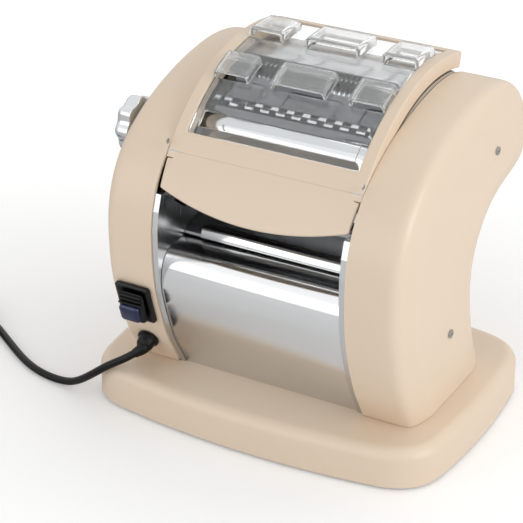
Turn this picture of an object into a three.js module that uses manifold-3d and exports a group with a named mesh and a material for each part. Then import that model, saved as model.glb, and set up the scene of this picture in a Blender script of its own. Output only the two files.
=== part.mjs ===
// An electric pasta maker: two moulded housings on a tray-shaped base carry three pairs of rollers,
// driven by a motor and a gear train, under a hinged cover with a clear guard and a hinged front flap.
// Millimetres, +Z up, front at -Y, right at +X. The origin is on the table, at the middle of the
// whole width and depth.
import * as THREE from "three";
import { mergeVertices } from "three/addons/utils/BufferGeometryUtils.js";
import Module from "manifold-3d";

const wasm = await Module();
wasm.setup();

// Clearances
const touchGap = 0.3;
const runGap = 0.6;
const overrun = 12;

// Base
const baseHalfWidth = 146.5;
const baseHalfDepth = 107.7;
const baseFrontBow = 8.5;
const baseSideBow = 4;
const baseCornerRadius = 36;
const baseTop = 32;
const baseLift = 2.2;
const baseShoulderInset = 9;
const baseShoulderDrop = 9;
const baseWall = 3;
const baseCurveSteps = 6;
const basePlateThickness = 2.4;
const basePlateLift = 1.2;
const footRadius = 12;
const footInsetX = 40;
const footInsetY = 40;

// Housings, a mirrored pair
const innerPlane = 78;
const housingWidth = 44;
const housingFilletInset = 22;
const housingFilletDepth = 18;
const housingWall = 3;
const housingReach = 96.5;
const housingRise = 220;
const housingRootDepth = 60;
// The side outline from the front foot over the top to the rear foot: forward reach, then height.
const housingOutlineShares = [
  [-0.52, -0.13], [-0.642, 0], [-0.798, 0.118], [-0.912, 0.25], [-0.979, 0.364], [-1, 0.491],
  [-0.99, 0.6], [-0.922, 0.7], [-0.788, 0.791], [-0.58, 0.864], [-0.311, 0.923], [-0.021, 0.964],
  [0.29, 0.991], [0.58, 1], [0.85, 0.982], [1.057, 0.936], [1.202, 0.864], [1.28, 0.777],
  [1.275, 0.705], [1.202, 0.645], [1.036, 0.616], [0.808, 0.595], [0.601, 0.555], [0.446, 0.486],
  [0.363, 0.405], [0.352, 0.314], [0.394, 0.209], [0.472, 0.1], [0.58, 0], [0.7, -0.13],
];

// Steel side plates between the housings
const plateThickness = 4.7;
const plateFrontInset = 1.6;
const plateRearInset = 9;
const plateCornerHeight = 183;

const plateCrownGap = 1.3;

// The cover follows an arc about a line along X, which starts at its hinge.
const hingeY = -69.33;
const hingeZ = 209.37;
const coverRadius = 146;
const coverWall = 3;
const coverDepth = 11.5;
const coverSideGap = 0.1;
const armWidth = 9.1;
const coverBackAngle = THREE.MathUtils.degToRad(71.5);
const windowBackAngle = THREE.MathUtils.degToRad(77);
const windowFrontAngle = THREE.MathUtils.degToRad(136.1);
const hingeAngle = THREE.MathUtils.degToRad(142.3);
const armTipAngle = THREE.MathUtils.degToRad(143.4);
const hingeInset = 1.5;
const arcCentreY = hingeY - (coverRadius - hingeInset) * Math.cos(hingeAngle);
const arcCentreZ = hingeZ - (coverRadius - hingeInset) * Math.sin(hingeAngle);
const plateTopRadius = coverRadius - coverDepth - plateCrownGap;
const beadRadius = 2.2;
const beadGap = 0.6;
const pivotRadius = 1.6;
const pivotTipRadius = 1;
const pivotTipLength = 4;

// Flap
const flapLipY = -94;
const flapLipZ = 174;
const flapBendY = -83;
const flapBendZ = 193.5;
const flapCornerZ = 187.5;
const flapMiddleZ = 176;
const flapHalfTop = 76.6;
const flapHalfLip = 73.4;

// Clear guard
const guardThickness = 2.4;
const guardRecess = 1.2;
const lugRise = 7.5;
const lugWall = 2;
const lugMiddleHalf = 22;
const lugSideInner = 40;
const frontLugAngle = THREE.MathUtils.degToRad(117);
const frontLugEndAngle = THREE.MathUtils.degToRad(108.5);
const backLugAngle = THREE.MathUtils.degToRad(96.5);
const backLugEndAngle = THREE.MathUtils.degToRad(85);
const doughSlotAngle = THREE.MathUtils.degToRad(133.5);
const doughSlotEndAngle = THREE.MathUtils.degToRad(128.5);

// Smooth rollers
const smoothRadius = 15;
const rollerHalfLength = 72.4;
const journalRadius = 6;
const shaftRadius = 5;
const rollerCrownDepth = 16.4;
const fixedRollerAngle = THREE.MathUtils.degToRad(128.05);
const smoothNip = 0.6;
const smoothLineAngle = THREE.MathUtils.degToRad(-128);
const nipTravel = 2.2;

// Cutter rollers
const cutterRadius = 13.6;
const cutterCoreRadius = 7.4;
const wideStrip = 6.5;
const widePairs = 11;
const fineStrip = 3.5;
const finePairs = 20;
const stripGap = 0.2;
const wideLineAngle = THREE.MathUtils.degToRad(10);
const linkLineAngle = THREE.MathUtils.degToRad(5);
const fineLineAngle = THREE.MathUtils.degToRad(-12);

// Gears, all of one module
const gearModule = 2;
const gearWidth = 7;
const gearBoreGap = 0.3;
const addendumShare = 0.8;
const dedendumShare = 1.15;
const rootHalfShare = 0.27;
const tipHalfShare = 0.11;
const smoothTeeth = 15;
const cutterTeeth = 13;
const linkTeeth = 14;
const pinionTeeth = 9;
const lastPinionTeeth = 10;
const wheelTeeth = 36;
const firstGearPlane = 83;
const gearPlanePitch = 9.5;
const leftGearPlane = 82;
const spindleRadius = 4;
const lastWheelAngle = THREE.MathUtils.degToRad(-66);
const trainAngle = THREE.MathUtils.degToRad(-91.5);

// Motor
const motorRadius = 33;
const motorHalfLength = 52;
const motorBellRadius = 27;
const motorBellLength = 9;
const motorFootWidth = 22;
const motorFootHalf = 34;

// Sheets inside
const sheetThickness = 1.2;
const sheetHalfWidth = 72.7;
const feedRadius = plateTopRadius - sheetThickness;
const feedFrontAngle = THREE.MathUtils.degToRad(124.8);
const feedSlotAngle = THREE.MathUtils.degToRad(123.3);
const feedSlotEndAngle = THREE.MathUtils.degToRad(119.3);
const feedBackAngle = THREE.MathUtils.degToRad(109.6);
const trayFrontAngle = THREE.MathUtils.degToRad(98);
const trayBackAngle = THREE.MathUtils.degToRad(78.5);
const crownFrontAngle = THREE.MathUtils.degToRad(139);

// Thickness regulator
const knobRadius = 22;
const knobLobes = 8;
const knobLobeDepth = 2.6;
const knobThickness = 13;
const knobReach = 21;
const knobShaftRadius = 5;
const camRadius = 10.4;
const camThrow = 1.1;
const camWidth = 5;
const bossRadius = 9;
const bossLength = 14;

// Bearing blocks of the moving roller
const blockHalf = 9;
const blockTail = 27;
const tieRadius = 3.4;
const tieReach = 21.5;

// Switch
const switchX = -96;
const switchZ = 92;
const switchWidth = 29;
const switchHeight = 34;
const bezelDepth = 4;
const bezelSink = 9;
const rockerWidth = 19;
const rockerHeight = 26;
const rockerRise = 5.5;

// Cord
const cordRadius = 3;
const cordLift = 3.1;
const glandX = -96;
const glandZ = 54;
const glandRadius = 7.2;
const glandCollar = 3.4;
const glandNoseLength = 9;
const coilOuterRadius = 42;
const coilPitch = 6.5;
const coilTurns = 3;
const climbTurns = 0.3;
const coilSteps = 24;
const coilSides = 6;
const coilTail = 38;
const plugLength = 36;
const plugWidth = 25;
const plugHeight = 15;
const plugLift = 7.6;
const pinRadius = 2;
const pinLength = 19;
const pinSpacing = 18.6;

// Colours
const cream = new THREE.MeshStandardMaterial({ color: 0xe6d5b8, roughness: 0.42, metalness: 0 });
const steel = new THREE.MeshStandardMaterial({ color: 0xd5d6d8, roughness: 0.12, metalness: 1 });
const satin = new THREE.MeshStandardMaterial({ color: 0xc2c3c4, roughness: 0.35, metalness: 1 });
const clear = new THREE.MeshStandardMaterial({ color: 0xe9eef0, roughness: 0.08, metalness: 0 });
const black = new THREE.MeshStandardMaterial({ color: 0x17181a, roughness: 0.5, metalness: 0 });
const blue = new THREE.MeshStandardMaterial({ color: 0x16233a, roughness: 0.2, metalness: 0 });
const nylon = new THREE.MeshStandardMaterial({ color: 0xe2ddcf, roughness: 0.5, metalness: 0 });
const rubber = new THREE.MeshStandardMaterial({ color: 0x2b2b2d, roughness: 0.85, metalness: 0 });

// Geometry helpers

// A geometry that keeps only its corners, each once, with its faces pointing out.
function closed(geometry) {
  const bare = geometry.clone();
  bare.deleteAttribute("normal");
  bare.deleteAttribute("uv");
  const merged = mergeVertices(bare, 0.001);
  const place = merged.attributes.position;
  const index = merged.index.array;
  const a = new THREE.Vector3();
  const b = new THREE.Vector3();
  const c = new THREE.Vector3();
  let volume = 0;
  const kept = [];
  for (let i = 0; i < index.length; i += 3) {
    const corners = [index[i], index[i + 1], index[i + 2]];
    if (corners[0] === corners[1] || corners[1] === corners[2] || corners[2] === corners[0]) continue;
    kept.push(...corners);
    a.fromBufferAttribute(place, corners[0]);
    b.fromBufferAttribute(place, corners[1]);
    c.fromBufferAttribute(place, corners[2]);
    volume += a.dot(b.cross(c)) / 6;
  }
  if (volume < 0) {
    for (let i = 0; i < kept.length; i += 3) [kept[i + 1], kept[i + 2]] = [kept[i + 2], kept[i + 1]];
  }
  merged.setIndex(kept);
  return merged;
}

function solidOf(geometry) {
  const mesh = closed(geometry);
  return new wasm.Manifold(new wasm.Mesh({
    numProp: 3,
    vertProperties: new Float32Array(mesh.attributes.position.array),
    triVerts: new Uint32Array(mesh.index.array),
  }));
}

function geometryOf(solid) {
  const mesh = solid.getMesh();
  const geometry = new THREE.BufferGeometry();
  geometry.setAttribute("position", new THREE.BufferAttribute(mesh.vertProperties, mesh.numProp));
  geometry.setIndex(new THREE.BufferAttribute(mesh.triVerts, 1));
  return geometry;
}

function cut(geometry, ...tools) {
  return geometryOf(tools.reduce((rest, tool) => rest.subtract(solidOf(tool)), solidOf(geometry)));
}

function join(...geometries) {
  const [first, ...others] = geometries.map(solidOf);
  return geometryOf(others.reduce((whole, other) => whole.add(other), first));
}

function common(first, second) {
  return geometryOf(solidOf(first).intersect(solidOf(second)));
}

// A side outline drawn in Y and Z, extruded along X from one plane to another.
function plateAlongX(shape, from, to, options = {}) {
  const depth = to - from;
  const geometry = new THREE.ExtrudeGeometry(shape, { depth, bevelEnabled: false, ...options });
  const sideways = new THREE.Matrix4().makeBasis(
    new THREE.Vector3(0, 1, 0), new THREE.Vector3(0, 0, 1), new THREE.Vector3(1, 0, 0));
  return geometry.applyMatrix4(sideways).translate(from, 0, 0);
}

// A front outline drawn in X and Z, extruded along Y from one plane to another.
function plateAlongY(shape, from, to) {
  const geometry = new THREE.ExtrudeGeometry(shape, { depth: to - from, bevelEnabled: false });
  return geometry.rotateX(Math.PI / 2).translate(0, to, 0);
}

// A turned piece: its profile gives the place along X and the radius, from axis to axis.
function turned(profile, y, z, segments) {
  const points = profile.map(([along, radius]) => new THREE.Vector2(radius, along));
  return new THREE.LatheGeometry(points, segments).rotateZ(-Math.PI / 2).translate(0, y, z);
}

function rod(radius, from, to, y, z, segments = 20) {
  return turned([[from, 0], [from, radius], [to, radius], [to, 0]], y, z, segments);
}

function block(x0, x1, y0, y1, z0, z1) {
  return new THREE.BoxGeometry(x1 - x0, y1 - y0, z1 - z0)
    .translate((x0 + x1) / 2, (y0 + y1) / 2, (z0 + z1) / 2);
}

function arcPoint(radius, angle) {
  return new THREE.Vector2(
    arcCentreY + radius * Math.cos(angle), arcCentreZ + radius * Math.sin(angle));
}

// A part of a ring about the cover's arc centre, extruded along X.
function arcBand(inner, outer, fromAngle, toAngle, x0, x1, segments = 20) {
  const points = [];
  for (let i = 0; i <= segments; i += 1) {
    points.push(arcPoint(outer, THREE.MathUtils.lerp(fromAngle, toAngle, i / segments)));
  }
  for (let i = segments; i >= 0; i -= 1) {
    points.push(arcPoint(inner, THREE.MathUtils.lerp(fromAngle, toAngle, i / segments)));
  }
  return plateAlongX(new THREE.Shape(points), x0, x1);
}

// The unit normals to the left of a run of points.
function leftNormals(points) {
  return points.map((point, i) => {
    const before = points[Math.max(i - 1, 0)];
    const after = points[Math.min(i + 1, points.length - 1)];
    const tangent = after.clone().sub(before).normalize();
    return new THREE.Vector2(-tangent.y, tangent.x);
  });
}

function offsetRun(points, distance) {
  const normals = leftNormals(points);
  return points.map((point, i) => point.clone().addScaledVector(normals[i], distance));
}

// A bent sheet: a run of points with a thickness, extruded along X.
function sheet(points, thickness, x0, x1) {
  const outer = offsetRun(points, thickness / 2);
  const inner = offsetRun(points, -thickness / 2).reverse();
  return plateAlongX(new THREE.Shape([...outer, ...inner]), x0, x1);
}

// The place on a spur gear's outline: four corners to a tooth, with room for play.
function gearBlank(teeth, bore, from, y, z, phase) {
  const pitchRadius = teeth * gearModule / 2;
  const tip = pitchRadius + addendumShare * gearModule;
  const root = pitchRadius - dedendumShare * gearModule;
  const step = Math.PI * 2 / teeth;
  const corner = (radius, angle) => new THREE.Vector2(radius * Math.cos(angle), radius * Math.sin(angle));
  const points = [];
  for (let tooth = 0; tooth < teeth; tooth += 1) {
    const middle = phase + tooth * step;
    points.push(corner(root, middle - rootHalfShare * step), corner(tip, middle - tipHalfShare * step));
    points.push(corner(tip, middle + tipHalfShare * step), corner(root, middle + rootHalfShare * step));
  }
  const shape = new THREE.Shape(points);
  if (bore > 0) shape.holes.push(new THREE.Path().absarc(0, 0, bore, 0, Math.PI * 2, true));
  return plateAlongX(shape, from, from + gearWidth, { curveSegments: 6 }).translate(0, y, z);
}

// The phase of a gear that meshes with a neighbour whose phase is known.
function meshedPhase(place, teeth, phase, otherPlace, otherTeeth) {
  const line = Math.atan2(otherPlace.y - place.y, otherPlace.x - place.x);
  const step = Math.PI * 2 / teeth;
  const otherStep = Math.PI * 2 / otherTeeth;
  const share = (line - phase) / step;
  return line + Math.PI - otherStep * (0.5 - share);
}

function pitchDistance(teeth, otherTeeth) {
  return (teeth + otherTeeth) * gearModule / 2;
}

function stepFrom(place, distance, angle) {
  return new THREE.Vector2(place.x + distance * Math.cos(angle), place.y + distance * Math.sin(angle));
}

// The object and its nodes
const pastaMaker = new THREE.Group();
pastaMaker.name = "electric_pasta_maker";

// The outlines are drawn about the base's middle. The origin is the middle of the whole depth,
// from the base's front to the housings' rearmost point.
function originShift() {
  const rearReach = Math.max(...housingRun.map((point) => point.x));
  return (baseHalfDepth - rearReach) / 2;
}

function add(name, geometry, material) {
  const placed = closed(geometry).translate(0, originShift(), 0);
  const mesh = new THREE.Mesh(placed, material);
  mesh.name = name;
  pastaMaker.add(mesh);
  return mesh;
}

// Places of the rollers and of the gear train, as points in Y and Z
const fixedRoller = arcPoint(plateTopRadius - rollerCrownDepth, fixedRollerAngle);
const movingRoller = stepFrom(fixedRoller, 2 * smoothRadius + smoothNip, smoothLineAngle);
const knobAxis = stepFrom(movingRoller, -knobReach, smoothLineAngle);
const wideFront = stepFrom(fixedRoller, pitchDistance(smoothTeeth, smoothTeeth), 0);
const wideRear = stepFrom(wideFront, pitchDistance(cutterTeeth, cutterTeeth), wideLineAngle);
const fineFront = stepFrom(wideRear, pitchDistance(linkTeeth, linkTeeth), linkLineAngle);
const fineRear = stepFrom(fineFront, pitchDistance(cutterTeeth, cutterTeeth), fineLineAngle);
const lastWheel = stepFrom(fixedRoller, pitchDistance(smoothTeeth, lastPinionTeeth), lastWheelAngle);
const firstWheel = stepFrom(lastWheel, pitchDistance(wheelTeeth, pinionTeeth), trainAngle);
const motorAxis = stepFrom(firstWheel, pitchDistance(wheelTeeth, pinionTeeth), trainAngle);
const hinge = arcPoint(coverRadius - hingeInset, hingeAngle);
const slideWay = new THREE.Vector2(Math.cos(smoothLineAngle), Math.sin(smoothLineAngle));
const tieRod = movingRoller.clone().addScaledVector(slideWay, tieReach);
const plateInner = innerPlane - touchGap - plateThickness;

// Housing outlines
const housingPoints = housingOutlineShares.map(
  ([reach, rise]) => new THREE.Vector2(reach * housingReach, baseTop + rise * housingRise));
const housingSamples = 46;
const housingRun = new THREE.SplineCurve(housingPoints).getPoints(housingSamples);

function housingShape(inset) {
  const run = offsetRun(housingRun, -inset);
  const front = new THREE.Vector2(run[0].x, -housingRootDepth);
  const rear = new THREE.Vector2(run[run.length - 1].x, -housingRootDepth);
  return new THREE.Shape([front, ...run, rear]);
}

// The right housing: a moulded shell with a soft outer edge, open towards the machine's middle.
function rightHousing() {
  const filletStart = innerPlane + housingWidth - housingFilletDepth;
  const soft = { bevelEnabled: true, bevelThickness: housingFilletDepth, bevelSize: housingFilletInset,
    bevelOffset: -housingFilletInset, bevelSegments: 3 };
  const outer = plateAlongX(housingShape(0), 0, filletStart, soft);
  const hollowSoft = { ...soft, bevelThickness: housingFilletDepth - housingWall,
    bevelSize: housingFilletInset - housingWall, bevelSegments: 2 };
  const hollow = plateAlongX(housingShape(0), 0, filletStart, hollowSoft);
  const reach = 3 * housingReach;
  const inside = block(-reach, innerPlane, -reach, reach, -reach, 2 * reach);
  const under = block(-reach, reach, -reach, reach, -reach, baseTop + touchGap);
  return cut(outer, hollow, inside, under);
}

const housingShell = rightHousing();

// Bosses of the housing that the pivot pins and the knob shaft turn in
function housingWithPivot(shell) {
  const pinHole = rod(pivotTipRadius + touchGap, innerPlane - overrun,
    innerPlane + pivotTipLength + touchGap, hinge.x, hinge.y, 10);
  const bossSize = 2.6 * pivotTipRadius;
  const boss = common(
    rod(2 * bossSize, innerPlane, innerPlane + 2 * pivotTipLength, hinge.x, hinge.y, 12),
    plateAlongX(housingShape(housingWall / 10), innerPlane, innerPlane + housingFilletDepth));
  return cut(join(shell, boss), pinHole);
}

const pivotedHousing = housingWithPivot(housingShell);
add("right_housing", pivotedHousing, cream);

function leftHousing() {
  const mirrored = closed(pivotedHousing.clone().scale(-1, 1, 1));
  const outer = -(innerPlane + housingWidth);
  const boss = rod(bossRadius, outer + housingWall / 2, outer + bossLength, knobAxis.x, knobAxis.y, 18);
  const bore = rod(knobShaftRadius + touchGap, outer - overrun, outer + bossLength + overrun,
    knobAxis.x, knobAxis.y, 18);
  return cut(join(mirrored, boss), bore, switchPocket(), glandBore());
}

// The place and the tilt of a piece that sits on the front face of the left housing
function onHousingFront(height) {
  const front = housingRun.filter((point) => point.x < 0);
  const above = front.findIndex((point) => point.y > height);
  const low = front[above - 1];
  const high = front[above];
  const share = (height - low.y) / (high.y - low.y);
  const tangent = high.clone().sub(low).normalize();
  return { y: THREE.MathUtils.lerp(low.x, high.x, share), tilt: Math.atan2(-tangent.x, tangent.y) };
}

// Turns a geometry drawn round the origin, facing -Y, onto the housing's front face.
function seatOnFront(geometry, x, height, proud = 0) {
  const seat = onHousingFront(height);
  return geometry.translate(0, -proud, 0).rotateX(seat.tilt).translate(x, seat.y, height);
}

function switchPocket() {
  const half = (switchWidth - bezelDepth) / 2;
  const tall = (switchHeight - bezelDepth) / 2;
  const pocket = block(-half, half, -overrun, overrun + bezelSink, -tall, tall);
  return seatOnFront(pocket, switchX, switchZ);
}

function glandBore() {
  const bore = new THREE.CylinderGeometry(cordRadius + glandCollar / 2, cordRadius + glandCollar / 2,
    4 * overrun, 14);
  return seatOnFront(bore, glandX, glandZ);
}

add("left_housing", leftHousing(), cream);

// Base: a moulded tray with bowed sides, a soft shoulder and a flat top.
function baseShape(inset) {
  const width = baseHalfWidth - inset;
  const depth = baseHalfDepth - inset;
  const corner = baseCornerRadius - inset / 2;
  const sideX = width - baseSideBow;
  const frontY = depth - baseFrontBow;
  const cornerX = sideX - corner;
  const cornerY = frontY - corner;
  // The corner's control point lies where the ends of the two bows, drawn on, would meet.
  const turn = cornerX * cornerY - 4 * baseFrontBow * baseSideBow;
  const along = corner * (cornerY - 2 * baseSideBow) / turn;
  const bendX = cornerX + along * cornerX;
  const bendY = frontY - along * 2 * baseFrontBow;
  const shape = new THREE.Shape();
  shape.moveTo(-cornerX, -frontY);
  shape.quadraticCurveTo(0, -frontY - 2 * baseFrontBow, cornerX, -frontY);
  shape.quadraticCurveTo(bendX, -bendY, sideX, -cornerY);
  shape.quadraticCurveTo(sideX + 2 * baseSideBow, 0, sideX, cornerY);
  shape.quadraticCurveTo(bendX, bendY, cornerX, frontY);
  shape.quadraticCurveTo(0, frontY + 2 * baseFrontBow, -cornerX, frontY);
  shape.quadraticCurveTo(-bendX, bendY, -sideX, cornerY);
  shape.quadraticCurveTo(-sideX - 2 * baseSideBow, 0, -sideX, -cornerY);
  shape.quadraticCurveTo(-bendX, -bendY, -cornerX, -frontY);
  return shape;
}

function baseLoft(inset, bottom, top) {
  const loft = new THREE.ExtrudeGeometry(baseShape(inset), {
    depth: top - bottom - baseShoulderDrop, curveSegments: baseCurveSteps, bevelEnabled: true,
    bevelThickness: baseShoulderDrop, bevelSize: baseShoulderInset, bevelOffset: -baseShoulderInset,
    bevelSegments: 4,
  });
  return loft.translate(0, 0, bottom);
}

function baseTray() {
  const reach = 2 * baseHalfWidth;
  const outer = baseLoft(0, baseLift, baseTop);
  const hollow = baseLoft(baseWall, -overrun, baseTop - baseWall);
  const under = block(-reach, reach, -reach, reach, -reach, baseLift);
  return cut(outer, hollow, under);
}

add("base_tray", baseTray(), cream);

const basePlateBottom = baseLift + basePlateLift;
const basePlate = new THREE.ExtrudeGeometry(baseShape(baseWall + touchGap), {
  depth: basePlateThickness, curveSegments: baseCurveSteps, bevelEnabled: false })
  .translate(0, 0, basePlateBottom);
add("base_plate", basePlate, satin);

const footNames = ["foot_front_left", "foot_front_right", "foot_rear_left", "foot_rear_right"];
footNames.forEach((name, i) => {
  const x = (i % 2 === 0 ? -1 : 1) * (baseHalfWidth - footInsetX);
  const y = (i < 2 ? -1 : 1) * (baseHalfDepth - footInsetY);
  const height = basePlateBottom - touchGap;
  const foot = new THREE.CylinderGeometry(footRadius, footRadius * 0.9, height, 18)
    .rotateX(Math.PI / 2).translate(x, y, height / 2);
  add(name, foot, rubber);
});

// Side plates: they carry every roller and show as two bright strips at the front.
function sidePlate(side) {
  const near = innerPlane - touchGap;
  const far = plateInner;
  const whole = plateAlongX(housingShape(plateRearInset), far, near);
  const strip = common(
    plateAlongX(housingShape(plateFrontInset), far, near),
    block(far - overrun, near + overrun, -2 * housingReach, 0, 0, plateCornerHeight));
  const roof = arcBand(plateTopRadius, 2 * coverRadius, 0, Math.PI * 0.852, far - overrun, near + overrun, 30);
  const crown = arcBand(plateTopRadius - 2 * overrun, plateTopRadius, trayBackAngle, crownFrontAngle,
    far, near, 20);
  const behindFlap = arcBand(plateTopRadius, 2 * coverRadius, Math.PI * 0.6, Math.PI * 0.852,
    far - overrun, near + overrun, 12);
  const reach = 3 * housingReach;
  const under = block(-reach, reach, -reach, reach, -reach, baseTop + touchGap);
  const holes = bearingPlaces(side).map(
    ([place, radius]) => rod(radius + touchGap, far - overrun, near + overrun, place.x, place.y, 20));
  const slot = slideSlot(far - overrun, near + overrun);
  const body = join(cut(whole, roof), crown, cut(strip, behindFlap));
  const plate = cut(body, under, slot, ...holes);
  return side < 0 ? plate.scale(-1, 1, 1) : plate;
}

function bearingPlaces(side) {
  const rollers = [fixedRoller, wideFront, wideRear, fineFront, fineRear].map(
    (place) => [place, journalRadius]);
  const driven = [[lastWheel, spindleRadius], [firstWheel, spindleRadius], [motorAxis, journalRadius]];
  return side > 0 ? [...rollers, ...driven] : rollers;
}

// A rectangle along the line on which the moving roller slides
function slideBlock(ahead, behind, half, from, to) {
  const shape = new THREE.Shape([
    new THREE.Vector2(-ahead, -half), new THREE.Vector2(behind, -half),
    new THREE.Vector2(behind, half), new THREE.Vector2(-ahead, half)]);
  return plateAlongX(shape, from, to).rotateX(smoothLineAngle)
    .translate(0, movingRoller.x, movingRoller.y);
}

function slideSlot(from, to) {
  return slideBlock(blockHalf + touchGap, blockTail + nipTravel + touchGap, blockHalf + touchGap, from, to);
}

add("right_side_plate", sidePlate(1), steel);
add("left_side_plate", sidePlate(-1), steel);

// Smooth rollers
function smoothRoller(place, leftEnd, rightEnd) {
  const collar = journalRadius + 2 * touchGap;
  return turned([
    [leftEnd, 0], [leftEnd, journalRadius], [-rollerHalfLength + runGap, journalRadius],
    [-rollerHalfLength + runGap, collar], [-rollerHalfLength + 2 * runGap, smoothRadius],
    [rollerHalfLength - 2 * runGap, smoothRadius], [rollerHalfLength - runGap, collar],
    [rollerHalfLength - runGap, journalRadius], [innerPlane + runGap, journalRadius],
    [innerPlane + runGap, shaftRadius], [rightEnd, shaftRadius], [rightEnd, 0],
  ], place.x, place.y, 28);
}

const plateOuter = innerPlane - touchGap;
const firstShaftEnd = firstGearPlane + gearWidth + runGap;
add("smooth_roller_fixed", smoothRoller(fixedRoller, -plateOuter, firstShaftEnd), steel);
add("smooth_roller_moving", smoothRoller(movingRoller, -plateOuter, firstShaftEnd), steel);

// Cutter rollers: a core with a disc for every second strip
function cutterRoller(place, strip, pairs, shifted, leftEnd, rightEnd, segments) {
  const start = -strip * pairs + (shifted ? strip : 0) + stripGap / 2;
  const profile = [[leftEnd, 0]];
  if (leftEnd < -innerPlane) profile.push([leftEnd, shaftRadius], [-innerPlane - runGap, shaftRadius]);
  else profile.push([leftEnd, journalRadius]);
  if (leftEnd < -innerPlane) profile.push([-innerPlane - runGap, journalRadius]);
  profile.push([-rollerHalfLength + touchGap, journalRadius], [-rollerHalfLength + touchGap, cutterCoreRadius]);
  for (let i = 0; i < pairs; i += 1) {
    const left = start + i * 2 * strip;
    const right = left + strip - stripGap;
    profile.push([left, cutterCoreRadius], [left, cutterRadius], [right, cutterRadius]);
    profile.push([right, cutterCoreRadius]);
  }
  profile.push([rollerHalfLength - touchGap, cutterCoreRadius], [rollerHalfLength - touchGap, journalRadius]);
  if (rightEnd > innerPlane) {
    profile.push([innerPlane + runGap, journalRadius], [innerPlane + runGap, shaftRadius]);
    profile.push([rightEnd, shaftRadius], [rightEnd, 0]);
  } else profile.push([rightEnd, journalRadius], [rightEnd, 0]);
  return turned(profile, place.x, place.y, segments);
}

const leftFirst = -(leftGearPlane + gearWidth + runGap);
const leftSecond = -(leftGearPlane + gearPlanePitch + gearWidth + runGap);
const thirdPlane = firstGearPlane + 2 * gearPlanePitch;
const thirdShaftEnd = thirdPlane + gearWidth + runGap;
add("wide_cutter_front",
  cutterRoller(wideFront, wideStrip, widePairs, false, leftFirst, firstShaftEnd, 12), steel);
add("wide_cutter_rear",
  cutterRoller(wideRear, wideStrip, widePairs, true, leftFirst, thirdShaftEnd, 12), steel);
add("fine_cutter_front",
  cutterRoller(fineFront, fineStrip, finePairs, false, leftSecond, thirdShaftEnd, 8), steel);
add("fine_cutter_rear",
  cutterRoller(fineRear, fineStrip, finePairs, true, leftSecond, plateOuter, 8), steel);

// Gears on the rollers
const rollerBore = shaftRadius + gearBoreGap;
const fixedPhase = 0;
function addRollerGear(name, place, teeth, from, phase) {
  add(name, gearBlank(teeth, rollerBore, from, place.x, place.y, phase), nylon);
}

const movingPhase = meshedPhase(fixedRoller, smoothTeeth, fixedPhase, movingRoller, smoothTeeth);
const wideDrivePhase = meshedPhase(fixedRoller, smoothTeeth, fixedPhase, wideFront, smoothTeeth);
addRollerGear("fixed_roller_gear", fixedRoller, smoothTeeth, firstGearPlane, fixedPhase);
addRollerGear("moving_roller_gear", movingRoller, smoothTeeth, firstGearPlane, movingPhase);
addRollerGear("wide_drive_gear", wideFront, smoothTeeth, firstGearPlane, wideDrivePhase);

const widePairPhase = meshedPhase(wideFront, cutterTeeth, 0, wideRear, cutterTeeth);
const wideGearPlane = -leftGearPlane - gearWidth;
addRollerGear("wide_front_gear", wideFront, cutterTeeth, wideGearPlane, 0);
addRollerGear("wide_rear_gear", wideRear, cutterTeeth, wideGearPlane, widePairPhase);

const linkPhase = meshedPhase(wideRear, linkTeeth, 0, fineFront, linkTeeth);
addRollerGear("link_gear_wide", wideRear, linkTeeth, thirdPlane, 0);
addRollerGear("link_gear_fine", fineFront, linkTeeth, thirdPlane, linkPhase);

const finePairPhase = meshedPhase(fineFront, cutterTeeth, 0, fineRear, cutterTeeth);
const fineGearPlane = wideGearPlane - gearPlanePitch;
addRollerGear("fine_front_gear", fineFront, cutterTeeth, fineGearPlane, 0);
addRollerGear("fine_rear_gear", fineRear, cutterTeeth, fineGearPlane, finePairPhase);

// Reduction gears: each wheel is one moulding with its pinion and turns on a fixed spindle.
const secondPlane = firstGearPlane + gearPlanePitch;
const spindleBore = spindleRadius + gearBoreGap;
const lastPinionPhase = meshedPhase(fixedRoller, smoothTeeth, fixedPhase, lastWheel, lastPinionTeeth);
function wheelWithPinion(place, wheelPlane, wheelPhase, pinionPlane, pinionCount, pinionPhase) {
  const low = Math.min(wheelPlane, pinionPlane);
  const hub = rod(spindleBore + gearModule, low, low + gearPlanePitch + gearWidth, place.x, place.y, 16);
  const wheel = gearBlank(wheelTeeth, 0, wheelPlane, place.x, place.y, wheelPhase);
  const pinion = gearBlank(pinionCount, 0, pinionPlane, place.x, place.y, pinionPhase);
  const bore = rod(spindleBore, low - overrun, low + gearPlanePitch + gearWidth + overrun,
    place.x, place.y, 16);
  return cut(join(wheel, pinion, hub), bore);
}

const lastWheelPhase = 0;
const firstPinionPhase = meshedPhase(lastWheel, wheelTeeth, lastWheelPhase, firstWheel, pinionTeeth);
const motorPinionPhase = meshedPhase(firstWheel, wheelTeeth, 0, motorAxis, pinionTeeth);
add("reduction_gear_last", wheelWithPinion(lastWheel, secondPlane, lastWheelPhase,
  firstGearPlane, lastPinionTeeth, lastPinionPhase), nylon);
add("reduction_gear_first", wheelWithPinion(firstWheel, thirdPlane, 0,
  secondPlane, pinionTeeth, firstPinionPhase), nylon);

const housingInnerWall = innerPlane + housingWidth - housingWall;
add("spindle_last", rod(spindleRadius, plateInner, housingInnerWall - touchGap,
  lastWheel.x, lastWheel.y, 16), satin);
add("spindle_first", rod(spindleRadius, plateInner, housingInnerWall - touchGap,
  firstWheel.x, firstWheel.y, 16), satin);

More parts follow.
